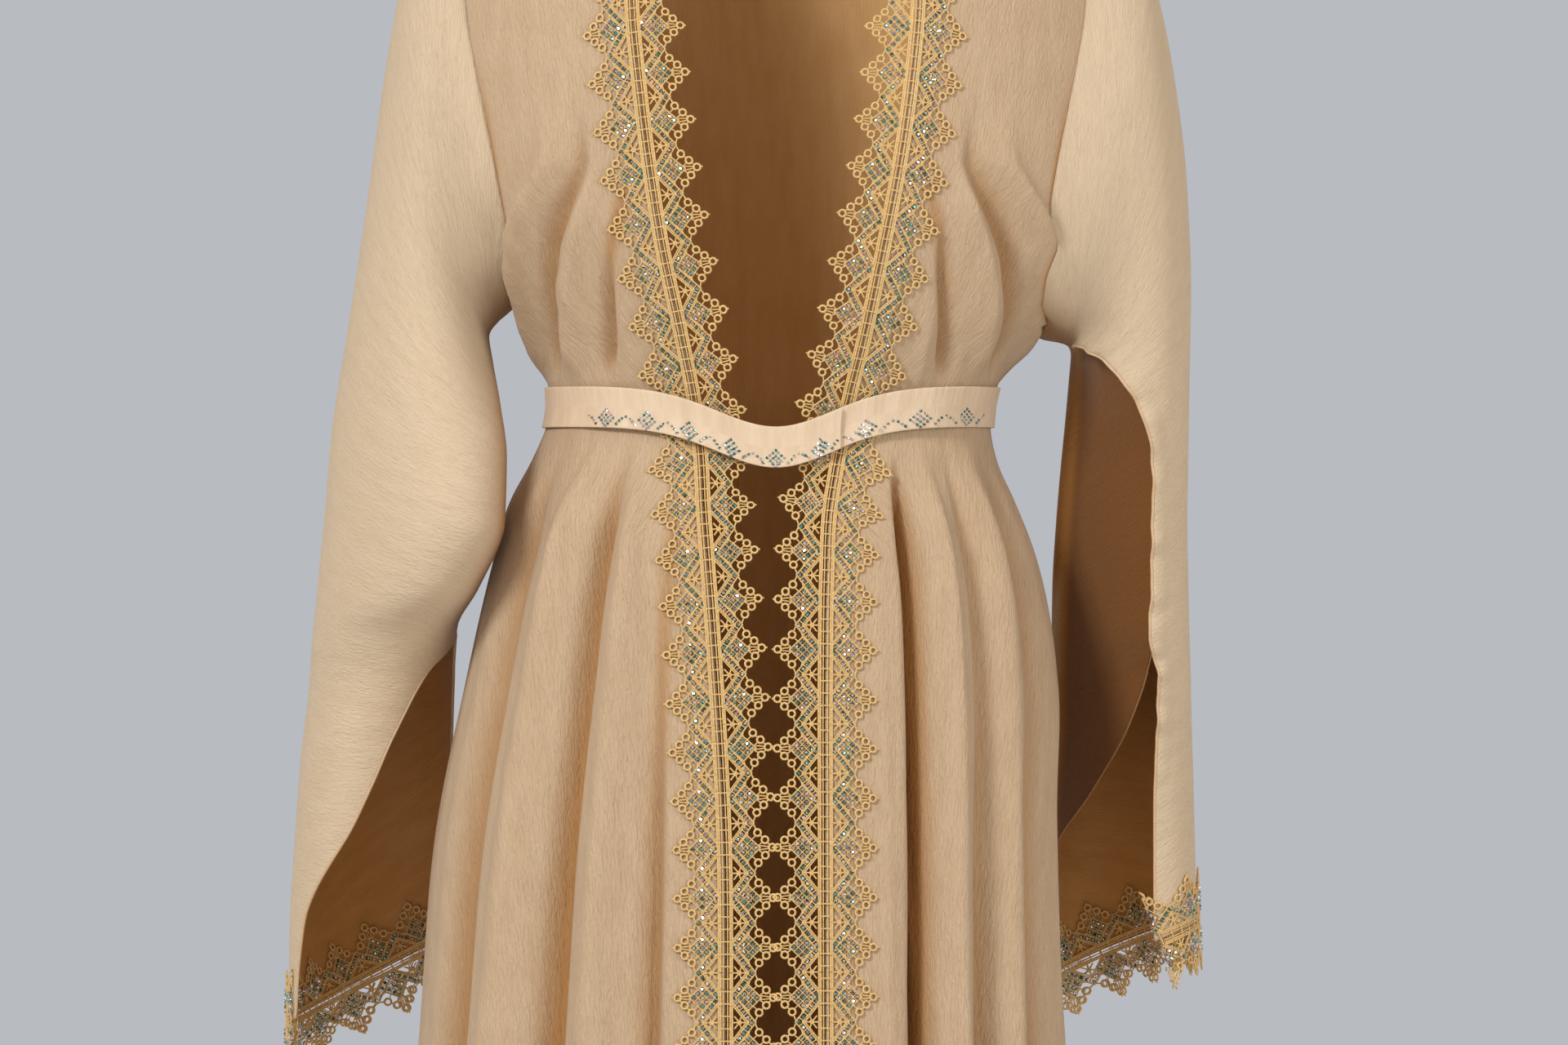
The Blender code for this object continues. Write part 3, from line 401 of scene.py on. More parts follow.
def sleeve_surface(side, share, row):
    share, row = np.broadcast_arrays(np.asarray(share, float), np.asarray(row, float))
    joined = even_curve(CAP_BLEND, np.minimum(row, 4.0))[..., None]
    start = sleeve_points(side, share, np.zeros_like(row))
    return sleeve_points(side, share, row) + joined * (armhole_points(side, share) - start)


print("right cuff, outer side:", sleeve_surface("right", 0.5, cuff_row("right")).round(3))

# %% [markdown]
# ## Finishes: what repeats is a group
# Crinkle crepe has short, wandering ridges along one direction of the weave, about two
# millimetres apart. It could be modelled, but a bump that the shader computes is finer than
# any mesh. The panels, sleeves and belt all use it at their own size and turn, so it is one
# node group. The thread's twist, for lace and hems, is another.

# %% Crinkle and twist as node groups
def put(tree, kind, links=(), **settings):
    node = tree.nodes.new(kind)
    for key, value in settings.items():
        if key.startswith("in_"):
            name = key[3:].replace("_", " ")
            socket = node.inputs[int(name)] if name.isdigit() else node.inputs[name]
            socket.default_value = value
        else:
            setattr(node, key, value)
    for output, socket in links:
        tree.links.new(output, node.inputs[socket])
    return node


def new_group(name, inputs, outputs):
    tree = bpy.data.node_groups.new(name, "ShaderNodeTree")
    for label, kind, value in inputs:
        socket = tree.interface.new_socket(label, in_out="INPUT", socket_type=kind)
        if value is not None:
            socket.default_value = value
    for label in outputs:
        tree.interface.new_socket(label, in_out="OUTPUT", socket_type="NodeSocketFloat")
    return tree, tree.nodes.new("NodeGroupInput"), tree.nodes.new("NodeGroupOutput")


def crinkle_group():
    tree, given, made = new_group(
        "crepe crinkle",
        (("Cloth", "NodeSocketVector", None), ("Turn", "NodeSocketFloat", 0.0),
         ("Ridges per metre", "NodeSocketFloat", 520.0), ("Length", "NodeSocketFloat", 7.0)),
        ("Height", "Streak"))
    turned = put(tree, "ShaderNodeVectorRotate", [(given.outputs["Cloth"], "Vector"),
                 (given.outputs["Turn"], "Angle")], rotation_type="Z_AXIS")
    parts = put(tree, "ShaderNodeSeparateXYZ", [(turned.outputs[0], 0)])
    across = put(tree, "ShaderNodeMath", [(parts.outputs["X"], 0),
                 (given.outputs["Ridges per metre"], 1)], operation="MULTIPLY")
    per_length = put(tree, "ShaderNodeMath", [(given.outputs["Ridges per metre"], 0),
                     (given.outputs["Length"], 1)], operation="DIVIDE")
    along = put(tree, "ShaderNodeMath", [(parts.outputs["Y"], 0), (per_length.outputs[0], 1)],
                operation="MULTIPLY")
    place = put(tree, "ShaderNodeCombineXYZ", [(across.outputs[0], "X"), (along.outputs[0], "Y")])
    ridges = put(tree, "ShaderNodeTexNoise", [(place.outputs[0], "Vector")],
                 noise_dimensions="2D", in_Scale=1.0, in_Detail=2.5, in_Roughness=0.55,
                 in_Distortion=0.7)
    wide = put(tree, "ShaderNodeVectorMath", [(place.outputs[0], 0)], operation="MULTIPLY")
    wide.inputs[1].default_value = (0.16, 0.22, 0.0)
    streaks = put(tree, "ShaderNodeTexNoise", [(wide.outputs[0], "Vector")],
                  noise_dimensions="2D", in_Scale=1.0, in_Detail=3.0, in_Roughness=0.5)
    both = put(tree, "ShaderNodeMath", [(streaks.outputs[0], 0), (ridges.outputs[0], 2)],
               operation="MULTIPLY_ADD", in_1=0.9)
    tree.links.new(both.outputs[0], made.inputs["Height"])
    tree.links.new(streaks.outputs[0], made.inputs["Streak"])
    return tree


def twist_group():
    tree, given, made = new_group(
        "thread twist",
        (("Place", "NodeSocketVector", None), ("Turns per metre", "NodeSocketFloat", 900.0)),
        ("Height", "Wear"))
    scaled = put(tree, "ShaderNodeVectorMath", [(given.outputs["Place"], 0),
                 (given.outputs["Turns per metre"], "Scale")], operation="SCALE")
    strands = put(tree, "ShaderNodeTexNoise", [(scaled.outputs[0], "Vector")],
                  in_Scale=1.0, in_Detail=2.0, in_Roughness=0.6, in_Distortion=1.2)
    slow = put(tree, "ShaderNodeTexNoise", [(given.outputs["Place"], "Vector")],
               in_Scale=60.0, in_Detail=2.0)
    tree.links.new(strands.outputs[0], made.inputs["Height"])
    tree.links.new(slow.outputs[0], made.inputs["Wear"])
    return tree


CRINKLE, TWIST = crinkle_group(), twist_group()
print("groups:", CRINKLE.name, "and", TWIST.name)

# %% [markdown]
# ## The cloth's material
# Champagne crepe is matt with a soft sheen. Deep between two folds, light has met the cloth
# several times and comes out warm brown. That shade is painted into the colour by an attribute
# that says how deep a place lies. The body panels and the sleeves are one cloth, painted darker
# on the body and lighter on the sleeves as the light falls. The inner face is the same cloth
# too, with warm bounce light painted into its colour on the body and painted shade in the
# sleeves.

# %% Crepe for the outer face, the inner face and the belt
# one crepe, painted in two tones as the light falls: darker on the body panels, lighter on the
# sleeves
BODY_TONES_PAINTED_DARKER = ((0.535, 0.395, 0.262, 1.0), (0.570, 0.430, 0.292, 1.0))
SLEEVE_TONES_PAINTED_LIGHTER = ((0.660, 0.535, 0.385, 1.0), (0.690, 0.565, 0.415, 1.0))
# the inner faces are the same crepe: warm bounce light is painted into the body's, painted shade
# into the sleeves'
BODY_INSIDE_PAINTED_BOUNCE_LIGHT = ((0.700, 0.430, 0.180, 1.0), (0.740, 0.480, 0.220, 1.0))
SLEEVE_INSIDE_PAINTED_SHADE = ((0.560, 0.290, 0.090, 1.0), (0.610, 0.330, 0.115, 1.0))
BELT_TONES = ((0.730, 0.575, 0.415, 1.0), (0.800, 0.655, 0.500, 1.0))
# painted shade: the crepe's colour turns to these browns where the painted-shade attribute says a
# fold's valley lies
CREPE_PAINTED_SHADE = (0.400, 0.190, 0.052, 1.0)
CREPE_PAINTED_DEEP_SHADE = (0.150, 0.055, 0.012, 1.0)
DEEP_SHADE_FROM = 0.6


def new_material(name, roughness, **values):
    material = bpy.data.materials.new(name)
    material.use_nodes = True
    shader = material.node_tree.nodes["Principled BSDF"]
    shader.inputs["Roughness"].default_value = roughness
    for key, value in values.items():
        shader.inputs[key.replace("_", " ")].default_value = value
    return material, material.node_tree, shader


def mixed(tree, share, first, second):
    """A colour between two, each a socket or a fixed value."""
    mix = put(tree, "ShaderNodeMix", data_type="RGBA")
    tree.links.new(share, mix.inputs[0])
    for socket, value in ((mix.inputs[6], first), (mix.inputs[7], second)):
        if isinstance(value, tuple):
            socket.default_value = value
        else:
            tree.links.new(value, socket)
    return mix.outputs[2]


def crepe_material(name, tones, turn, ridges, length, bump):
    material, tree, shader = new_material(name, 0.58, Sheen_Weight=0.22, Sheen_Roughness=0.45,
                                          Specular_IOR_Level=0.28)
    place = put(tree, "ShaderNodeTexCoord")
    crinkle = put(tree, "ShaderNodeGroup", node_tree=CRINKLE)
    crinkle.inputs["Turn"].default_value = math.radians(turn)
    crinkle.inputs["Ridges per metre"].default_value = ridges
    crinkle.inputs["Length"].default_value = length
    tree.links.new(place.outputs["UV"], crinkle.inputs["Cloth"])
    tone = put(tree, "ShaderNodeMapRange", [(crinkle.outputs["Streak"], "Value")],
               in_From_Min=0.3, in_From_Max=0.7)
    # painted shade: the colour darkens to brown, then to near black, as the painted-shade
    # attribute rises
    painted_shade = put(tree, "ShaderNodeAttribute", attribute_name="painted_shade")
    colour = mixed(tree, tone.outputs[0], *tones)
    for tint, reach in ((CREPE_PAINTED_SHADE, {"in_From_Max": DEEP_SHADE_FROM}),
                        (CREPE_PAINTED_DEEP_SHADE, {"in_From_Min": DEEP_SHADE_FROM})):
        share = put(tree, "ShaderNodeMapRange", [(painted_shade.outputs["Fac"], "Value")], **reach)
        colour = mixed(tree, share.outputs[0], colour, tint)
    tree.links.new(colour, shader.inputs["Base Color"])
    relief = put(tree, "ShaderNodeBump", [(crinkle.outputs["Height"], "Height")],
                 in_Strength=0.75, in_Distance=bump)
    tree.links.new(relief.outputs[0], shader.inputs["Normal"])
    return material


# name, tones, turn in degrees, ridges per metre, length of a ridge, height of the bump
crepe = crepe_material("crepe", BODY_TONES_PAINTED_DARKER, 8.0, 620.0, 5.0, 0.0016)
sleeve_crepe = crepe_material("sleeve_crepe", SLEEVE_TONES_PAINTED_LIGHTER, 68.0, 620.0, 5.0, 0.0011)
inner_crepe_painted_bounce_light = crepe_material("inner_crepe_painted_bounce_light", BODY_INSIDE_PAINTED_BOUNCE_LIGHT, 0.0, 620.0, 5.0, 0.0006)
sleeve_inside_painted_shade = crepe_material(
    "sleeve_inside_crepe", SLEEVE_INSIDE_PAINTED_SHADE, 68.0, 620.0, 5.0, 0.0006)
belt_crepe = crepe_material("belt_crepe", BELT_TONES, 90.0, 700.0, 7.0, 0.0004)
print("crepe materials made")

# %% [markdown]
# ## Sheets
# A cut piece of cloth starts as a grid primitive, flat and square. Its points are then laid
# on the form, its UV map is set in metres of cloth, so that the crinkle keeps its size, and
# Solidify gives it the thickness of crepe, inwards, with the inner material on the inside.

# %% A helper that lays a grid of cloth
CLOTH_THICKNESS = 0.0012


def select_only(*things):
    bpy.ops.object.select_all(action="DESELECT")
    for thing in things:
        thing.select_set(True)
    if things:
        bpy.context.view_layer.objects.active = things[0]


def plain_grid(name, rows, columns):
    select_only()
    bpy.ops.mesh.primitive_grid_add(x_subdivisions=columns - 1, y_subdivisions=rows - 1, size=1.0)
    thing = bpy.context.object
    thing.name = thing.data.name = name
    return thing


def set_points(mesh, points):
    mesh.vertices.foreach_set("co", np.asarray(points, np.float32).ravel())
    mesh.update()


def cloth_uv(grid):
    """Distances along the cloth, in metres, from its middle column and first row."""
    middle = grid.shape[1] // 2
    across = np.linalg.norm(np.diff(grid, axis=1), axis=2)
    across = np.concatenate([np.zeros((len(grid), 1)), np.cumsum(across, axis=1)], axis=1)
    across = across - across[:, middle:middle + 1]
    down = distances(grid[:, middle])
    return np.stack([across, -np.repeat(down[:, None], grid.shape[1], axis=1)], axis=-1)


def set_uv(mesh, uv):
    corners = np.zeros(len(mesh.loops), int)
    mesh.loops.foreach_get("vertex_index", corners)
    places = uv.reshape(-1, 2)[corners].astype(np.float32)
    mesh.uv_layers.active.data.foreach_set("uv", places.ravel())


def lay_cloth(name, grid, outward, materials, painted_shade):
    rows, columns = grid.shape[:2]
    thing = plain_grid(name, rows, columns)
    mesh = thing.data
    set_points(mesh, grid.reshape(-1, 3))
    set_uv(mesh, cloth_uv(grid))
    # the painted-shade attribute: how much shade is painted into the colour at each point
    depth = mesh.attributes.new("painted_shade", "FLOAT", "POINT")
    depth.data.foreach_set("value", painted_shade.reshape(-1).astype(np.float32))
    centre = (rows // 2) * (columns - 1) + columns // 2
    if np.dot(np.array(mesh.polygons[centre].normal), outward) < 0:
        mesh.flip_normals()
    for material in materials:
        mesh.materials.append(material)
    mesh.shade_smooth()
    wall = thing.modifiers.new("wall", "SOLIDIFY")
    wall.thickness, wall.offset, wall.material_offset = CLOTH_THICKNESS, -1.0, 1
    bpy.ops.object.modifier_apply(modifier=wall.name)
    return thing


def grid_area(grid):
    a, b, c, d = grid[:-1, :-1], grid[1:, :-1], grid[1:, 1:], grid[:-1, 1:]
    return float((np.linalg.norm(np.cross(b - a, c - a), axis=2).sum()
                  + np.linalg.norm(np.cross(c - a, d - a), axis=2).sum()) / 2)


def grid_normals(grid, outward):
    normals = unit(np.cross(np.gradient(grid, axis=0), np.gradient(grid, axis=1)))
    middle = (grid.shape[0] // 2, grid.shape[1] // 2)
    return normals if np.dot(normals[middle], outward) > 0 else -normals


# %% [markdown]
# ## The two fronts and the back
# On the real cloak these are three cut pieces, sewn at the shoulders and the sides. Each is
# laid as one sheet. A painted-shade attribute grows where the folds pull the cloth inwards,
# and by the side seams under the arms.

# %% Lay the fronts and the back
BODY_LEVELS = body_levels(80, 220)
FOLD_SHADE_FROM, FOLD_SHADE_SPAN = 0.002, 0.024
CUT_PIECES = ("back", "right_front", "left_front", "right_sleeve", "left_sleeve")
trims = {name: [] for name in CUT_PIECES}
sheets = {}


# painted shade in the folds' valleys, stronger the deeper a fold pulls the cloth in
def fold_painted_shade_of(grid):
    angle = np.arctan2(grid[..., 0], -grid[..., 1])
    drop = -grid[..., 2] - dip(angle, -grid[..., 2])
    return np.clip(-(folds(angle, drop) + FOLD_SHADE_FROM) / FOLD_SHADE_SPAN, 0.0, 1.0)


for side in SIDES:
    across, level = np.linspace(0.0, 1.0, 64)[None, :], BODY_LEVELS[:, None]
    grid = front_surface(side, across, level)
    # painted shade by the side seam, where the sleeve shades the body
    painted_shade_by_arm = 0.75 * np.exp(-((1.0 - across) / 0.06) ** 2) * ease((level - 0.35) / 0.4)
    painted_shade_by_arm = painted_shade_by_arm * ease((1.5 - level) / 0.3)
    name = f"{side}_front"
    painted_shade = np.maximum(fold_painted_shade_of(grid), painted_shade_by_arm)
    panel = lay_cloth(name + "_cloth", grid, (SIDES[side], -1, 0), (crepe, inner_crepe_painted_bounce_light), painted_shade)
    sheets[name] = (panel, grid)
grid = back_surface(np.linspace(-1.0, 1.0, 121)[None, :], BODY_LEVELS[:, None])
panel = lay_cloth("back_panel", grid, (0, 1, 0), (crepe, inner_crepe_painted_bounce_light), fold_painted_shade_of(grid))
sheets["back"] = (panel, grid)
for name, (thing, grid) in sheets.items():
    print(name, len(thing.data.polygons), "faces,", round(grid_area(grid), 3), "m2 of crepe")

# %% [markdown]
# ## The sleeves
# A sleeve is one sheet too, wrapped round the arm's place and left open at the slit. Above
# the slit its two edges meet. On the wearer's left arm the front edge laps a few millimetres
# over the under half, which lies in its shade. That shade is painted into the under half's
# colour, as is the shade on each sleeve's inner side near the body.

# %% Lay the sleeves
def sleeve_rows(side, count):
    """Rows spaced evenly along the outer line of the sleeve."""
    fine = np.linspace(0.0, cuff_row(side), 400)
    reached = distances(sleeve_surface(side, np.full(400, 0.5), fine))
    return np.interp(np.linspace(0, reached[-1], count), reached, fine)


LAP_LIFT = 0.0035
UNDER_SINK = 0.006
SLEEVE_MIDDLE = (85, 60)


def out_of_sleeve(grid):
    """The direction out of the sleeve at the middle of its sheet."""
    row, column = SLEEVE_MIDDLE
    return grid[row, column] - grid[row].mean(axis=0)


def around_sleeve(side, share, row):
    """The angle round the sleeve, past a full turn where it lies behind its own front edge."""
    table = np.array(SLEEVES[side], float)
    front, back = (np.radians(even_curve(table[:, column], row)) for column in (7, 8))
    return front + (2 * math.pi + back - front) * share


for side in SIDES:
    rows = sleeve_rows(side, 170)
    share, row = np.linspace(0.0, 1.0, 121)[None, :], rows[:, None]
    grid = sleeve_surface(side, share, row)
    name = f"{side}_sleeve"
    outward = out_of_sleeve(grid)
    angle = around_sleeve(side, share, row)
    behind = ease((angle - 2 * math.pi + 0.1) / 0.4)
    from_inner = np.minimum(np.abs(angle), np.abs(angle - 2 * math.pi))
    # painted shade: each sleeve's inner side near the body, above the slit, and the left sleeve's
    # under half beneath its lapped front edge
    sleeve_painted_shade = 0.7 * np.exp(-(from_inner / 0.35) ** 2) * ease((10.0 - row) / 1.5)
    if side == "left":
        lapped = ease((row - 3.0) / 1.5) * ease((13.5 - row) / 1.5)
        wavy = 1.0 + 0.35 * np.sin(7.0 * row) + 0.25 * np.sin(12.3 * row)
        lift = LAP_LIFT * wavy * ease(1.0 - share / 0.06) - UNDER_SINK * behind
        grid = grid + grid_normals(grid, outward) * (lift * lapped)[..., None]
        sleeve_painted_shade = np.maximum(sleeve_painted_shade, 0.92 * behind * ease((row - 2.5) / 2.0))
    sleeve = lay_cloth(name + "_cloth", grid, outward, (sleeve_crepe, sleeve_inside_painted_shade), sleeve_painted_shade)
    sheets[name] = (sleeve, grid)
    print(name, len(sleeve.data.polygons), "faces")

# %% [markdown]
# ## Gold guipure lace: its parts
# This lace is embroidered on a ground that is then dissolved, so it is all thread: rings,
# bars, a ladder down the middle and small spiders in the gaps, with faceted stones glued on.
# Each part is modelled once, from a primitive, and its copies make one repeat of the lace.

# %% A thread, a ring and a stone
LACE_PITCH = 0.0333
STONE_SIDES = 8
STONE_RADIUS = 0.0015


def thread_material(name, painted_groove_shade, painted_strand_light, roughness, turns, bump):
    material, tree, shader = new_material(name, roughness, Sheen_Weight=0.15,
                                          Specular_IOR_Level=0.55)
    place = put(tree, "ShaderNodeTexCoord")
    twist = put(tree, "ShaderNodeGroup", node_tree=TWIST)
    twist.inputs["Turns per metre"].default_value = turns
    tree.links.new(place.outputs["Object"], twist.inputs["Place"])
    # painted shade and light: the twist's low grooves take the darker tone, its raised strands
    # the lighter
    tone = put(tree, "ShaderNodeMapRange", [(twist.outputs["Height"], "Value")],
               in_From_Min=0.35, in_From_Max=0.65)
    tree.links.new(mixed(tree, tone.outputs[0], painted_groove_shade, painted_strand_light), shader.inputs["Base Color"])
    relief = put(tree, "ShaderNodeBump", [(twist.outputs["Height"], "Height")],
                 in_Strength=0.6, in_Distance=bump)
    tree.links.new(relief.outputs[0], shader.inputs["Normal"])
    return material


def stone_material():
    material, tree, shader = new_material("rainbow_stones_painted_glints", 0.09, Metallic=0.75, Coat_Weight=1.0,
                                          Coat_Roughness=0.03)
    tint = put(tree, "ShaderNodeAttribute", attribute_name="tint")
    ramp = put(tree, "ShaderNodeValToRGB", [(tint.outputs["Fac"], "Fac")])
    # the stones' own rainbow tints, and white and near-black stops that are painted glints and
    # painted dark reflections
    ab_tints_and_painted_glints = ((0.0, (0.02, 0.05, 0.06)), (0.12, (0.05, 0.28, 0.30)), (0.25, (0.20, 0.58, 0.60)),
               (0.35, (0.12, 0.26, 0.46)), (0.45, (0.50, 0.78, 0.66)), (0.54, (0.44, 0.30, 0.58)),
               (0.62, (0.80, 0.50, 0.56)), (0.70, (0.95, 0.96, 0.94)), (0.84, (0.98, 0.96, 0.90)),
               (0.92, (0.30, 0.34, 0.30)), (0.97, (0.05, 0.06, 0.06)))
    stops = ramp.color_ramp.elements
    stops[0].position, stops[0].color = ab_tints_and_painted_glints[0][0], (*ab_tints_and_painted_glints[0][1], 1.0)
    stops[1].position, stops[1].color = ab_tints_and_painted_glints[-1][0], (*ab_tints_and_painted_glints[-1][1], 1.0)
    for position, colour in ab_tints_and_painted_glints[1:-1]:
        stops.new(position).color = (*colour, 1.0)
    tree.links.new(ramp.outputs["Color"], shader.inputs["Base Color"])
    return material


gold_thread = thread_material("gold_thread", (0.54, 0.330, 0.095, 1.0), (0.95, 0.710, 0.350, 1.0),
                              0.42, 1500.0, 0.00025)
ab_stones_painted_glints = stone_material()


def part_of_lace(name, material):
    thing = bpy.context.object
    thing.name = thing.data.name = name
    thing.data.materials.append(material)
    return thing


select_only()
bpy.ops.mesh.primitive_cylinder_add(vertices=5, radius=1.0, depth=1.0, end_fill_type="NOTHING")
thread = part_of_lace("thread", gold_thread)
select_only()
bpy.ops.mesh.primitive_torus_add(major_radius=0.0023, minor_radius=0.00080, major_segments=14,
                                 minor_segments=5)
ring = part_of_lace("ring", gold_thread)
ring.data.shade_smooth()


def faceted_stone(name, radius):
    """A flat-backed stone: eight facets and a table. Its back is glued down and left open."""
    select_only()
    bpy.ops.mesh.primitive_cone_add(vertices=STONE_SIDES, radius1=radius, radius2=radius * 0.5,
                                    depth=radius * 0.8, end_fill_type="NGON")
    stone = part_of_lace(name, ab_stones_painted_glints)
    bpy.ops.object.mode_set(mode="EDIT")
    bpy.ops.mesh.select_all(action="DESELECT")
    bpy.ops.object.mode_set(mode="OBJECT")
    for face in stone.data.polygons:
        face.select = face.normal.z < -0.9
    bpy.ops.object.mode_set(mode="EDIT")
    bpy.ops.mesh.delete(type="FACE")
    bpy.ops.object.mode_set(mode="OBJECT")
    return stone


stone = faceted_stone("stone", STONE_RADIUS)
print("parts of the lace:", [len(part.data.polygons) for part in (thread, ring, stone)], "faces")

# %% [markdown]
# ## One repeat of the lace
# Everything is mirrored about the ladder. On each side a gap with a spider stitch lies by
# the ladder, a bar with stones zigzags round it, and the tooth between two gaps has a net
# with a diamond of stones and five rings round its point. X runs across the lace, Y along it
# and Z away from the cloth. The tooth's point is at Y = 0 and the notches are at half a
# repeat on either side.

# %% Lay out the repeat
HALF_PITCH = LACE_PITCH / 2
THREAD_HEIGHT = 0.0006
copies = {"thread": [], "ring": [], "stone": []}


def own_copy(source):
    """A copy with a mesh of its own."""
    copy = source.copy()
    copy.data = source.data.copy()
    bpy.context.scene.collection.objects.link(copy)
    return copy


def place_copy(source, location, rotation=(0.0, 0.0, 0.0), scale=(1.0, 1.0, 1.0)):
    copy = own_copy(source)
    copy.location, copy.rotation_euler, copy.scale = location, rotation, scale
    copies[source.name].append(copy)


def run_thread(start, end, radius=0.00042, height=THREAD_HEIGHT, steps=1):
    start, end = np.array(start, float), np.array(end, float)
    for step in range(steps):
        a = start + (end - start) * step / steps
        b = start + (end - start) * (step + 1) / steps
        along = b - a
        place_copy(thread, (*((a + b) / 2), height),
                   (math.pi / 2, 0.0, math.atan2(along[1], along[0]) + math.pi / 2),
                   (radius, radius, float(np.hypot(*along)) + radius))


def set_stone(x, y, height=0.00145):
    tilt = tilts.uniform(-0.28, 0.28, 2)
    place_copy(stone, (x, y, height), (tilt[0], tilt[1], tilts.uniform(0, 0.78)))


tilts = np.random.default_rng(21)
for x, radius in ((0.0046, 0.00062), (0.0033, 0.00062), (0.0015, 0.00042)):
    for hand in (-1, 1):
        run_thread((hand * x, -HALF_PITCH), (hand * x, HALF_PITCH), radius, steps=3)
for step in range(4):
    y = -HALF_PITCH + (step + 0.5) * LACE_PITCH / 4
    run_thread((-0.0040, y), (0.0040, y), 0.00045, THREAD_HEIGHT * 1.2)

BAR_START = np.array([0.0064, 0.0020])
BAR_END = np.array([0.0181, HALF_PITCH])
BAR_ALONG = unit(BAR_END - BAR_START)
BAR_OUT = np.array([BAR_ALONG[1], -BAR_ALONG[0]])
NET_STEP = 0.0040 / math.sqrt(2)


def net(i, j):
    """A place in the tooth's net, counted in stones along its two slanting directions."""
    return 0.0156 + (i + j) * NET_STEP, (i - j) * NET_STEP


for hand in (-1, 1):
    for way in (-1, 1):
        def at(place, hand=hand, way=way):
            return hand * place[0], way * place[1]

        def on_bar(share, off):
            return at(BAR_START + (BAR_END - BAR_START) * share + BAR_OUT * off)

        run_thread(on_bar(-0.02, -0.0019), on_bar(0.93, -0.0019), 0.00052, steps=2)
        run_thread(on_bar(0.04, -0.0031), on_bar(0.85, -0.0031), 0.00048, steps=2)
        run_thread(on_bar(-0.08, 0.0019), on_bar(1.0, 0.0019), 0.00052, steps=2)
        run_thread(on_bar(1.0, 0.0019), at((0.0205, HALF_PITCH)), 0.00055)
        for share in (0.125, 0.375, 0.625, 0.875):
            run_thread(on_bar(share, -0.0019), on_bar(share, 0.0019), 0.00040)
        for share in (0.0, 0.25, 0.5, 0.75) + ((1.0,) if way > 0 else ()):
            set_stone(*on_bar(share, 0.0))
        run_thread(at(net(1.5, -1.5)), on_bar(0.72, 0.0019), 0.00045)
        run_thread(at((0.0203, 0.0154)), at((0.0216, 0.0125)), 0.00050)
        run_thread(at((0.0186, 0.0055)), at((0.0214, 0.0080)), 0.00042)
        run_thread(at((0.0232, 0.0016)), at((0.0258, 0.0036)), 0.00042)
        run_thread(at((0.0244, 0.0083)), at((0.0259, 0.0068)), 0.00050)
        run_thread(at((0.0293, 0.0034)), at((0.0307, 0.0018)), 0.00050)
        run_thread(at((0.0226, 0.0015)), at((0.0300, 0.0006)), 0.00042)
        place_copy(ring, (*at((0.0276, 0.0051)), THREAD_HEIGHT))
        place_copy(ring, (*at((0.0227, 0.0100)), THREAD_HEIGHT))
        run_thread(at((0.0094, HALF_PITCH)), at((0.0062, HALF_PITCH - 0.0040)), 0.00052)
        run_thread(at((0.0094, HALF_PITCH)), at((0.0106, HALF_PITCH - 0.0036)), 0.00045)
    run_thread((hand * 0.0050, HALF_PITCH), (hand * 0.0150, HALF_PITCH), 0.00052)
    place_copy(ring, (hand * 0.0094, HALF_PITCH, THREAD_HEIGHT), scale=(0.55, 0.55, 0.8))
    place_copy(ring, (hand * 0.0324, 0.0, THREAD_HEIGHT))
    run_thread((hand * 0.0350, 0.0), (hand * 0.0360, 0.0), 0.00060)
    for k in (-1.5, -0.5, 0.5, 1.5):
        radius = 0.00052 if abs(k) > 1 else 0.00040
        for start, end in ((net(k, -1.6), net(k, 1.6)), (net(-1.6, k), net(1.6, k))):
            run_thread((hand * start[0], start[1]), (hand * end[0], end[1]), radius,
                       THREAD_HEIGHT * 0.8)
    for i in (-1, 0, 1):
        for j in (-1, 0, 1):
            x, y = net(i, j)
            set_stone(hand * x, y)
print("one repeat:", {kind: len(made) for kind, made in copies.items()})

# %% [markdown]
# ## From one repeat to a strip
# The repeat is joined into two meshes, its thread and its stones. A strip of lace is that
# repeat, copied along an edge and bent to the cloth: each point's place across and along is
# looked up on the cloth's own surface, and its height is laid off on the surface's normal.

# %% Join the repeat and read its points
def joined(things, name):
    select_only(*things)
    bpy.ops.object.transform_apply(location=True, rotation=True, scale=True)
    bpy.ops.object.join()
    things[0].name = things[0].data.name = name
    return things[0]


for copy in copies["stone"]:
    copy.data.attributes.new("tint", "FLOAT", "FACE")
repeat_thread = joined(copies["thread"] + copies["ring"], "repeat_thread")
repeat_stones = joined(copies["stone"], "repeat_stones")
for master in (thread, ring, stone):
    bpy.data.objects.remove(master)


def mesh_points(mesh):
    points = np.zeros(len(mesh.vertices) * 3, np.float32)
    mesh.vertices.foreach_get("co", points)
    return points.reshape(-1, 3).astype(float)


for part in (repeat_thread, repeat_stones):
    part.data.calc_loop_triangles()
    print(part.name, len(part.data.loop_triangles), "triangles")

# %% [markdown]
# ## The edge that a strip follows
# A carrier is the cloth near an edge, read at even distances across it and close steps along
# it. Where the edge runs slantwise through the rows, a place across it lies on another row.

# %% Carriers
CARRIER_STEP = 0.001
CARRIER_HALF = 0.046


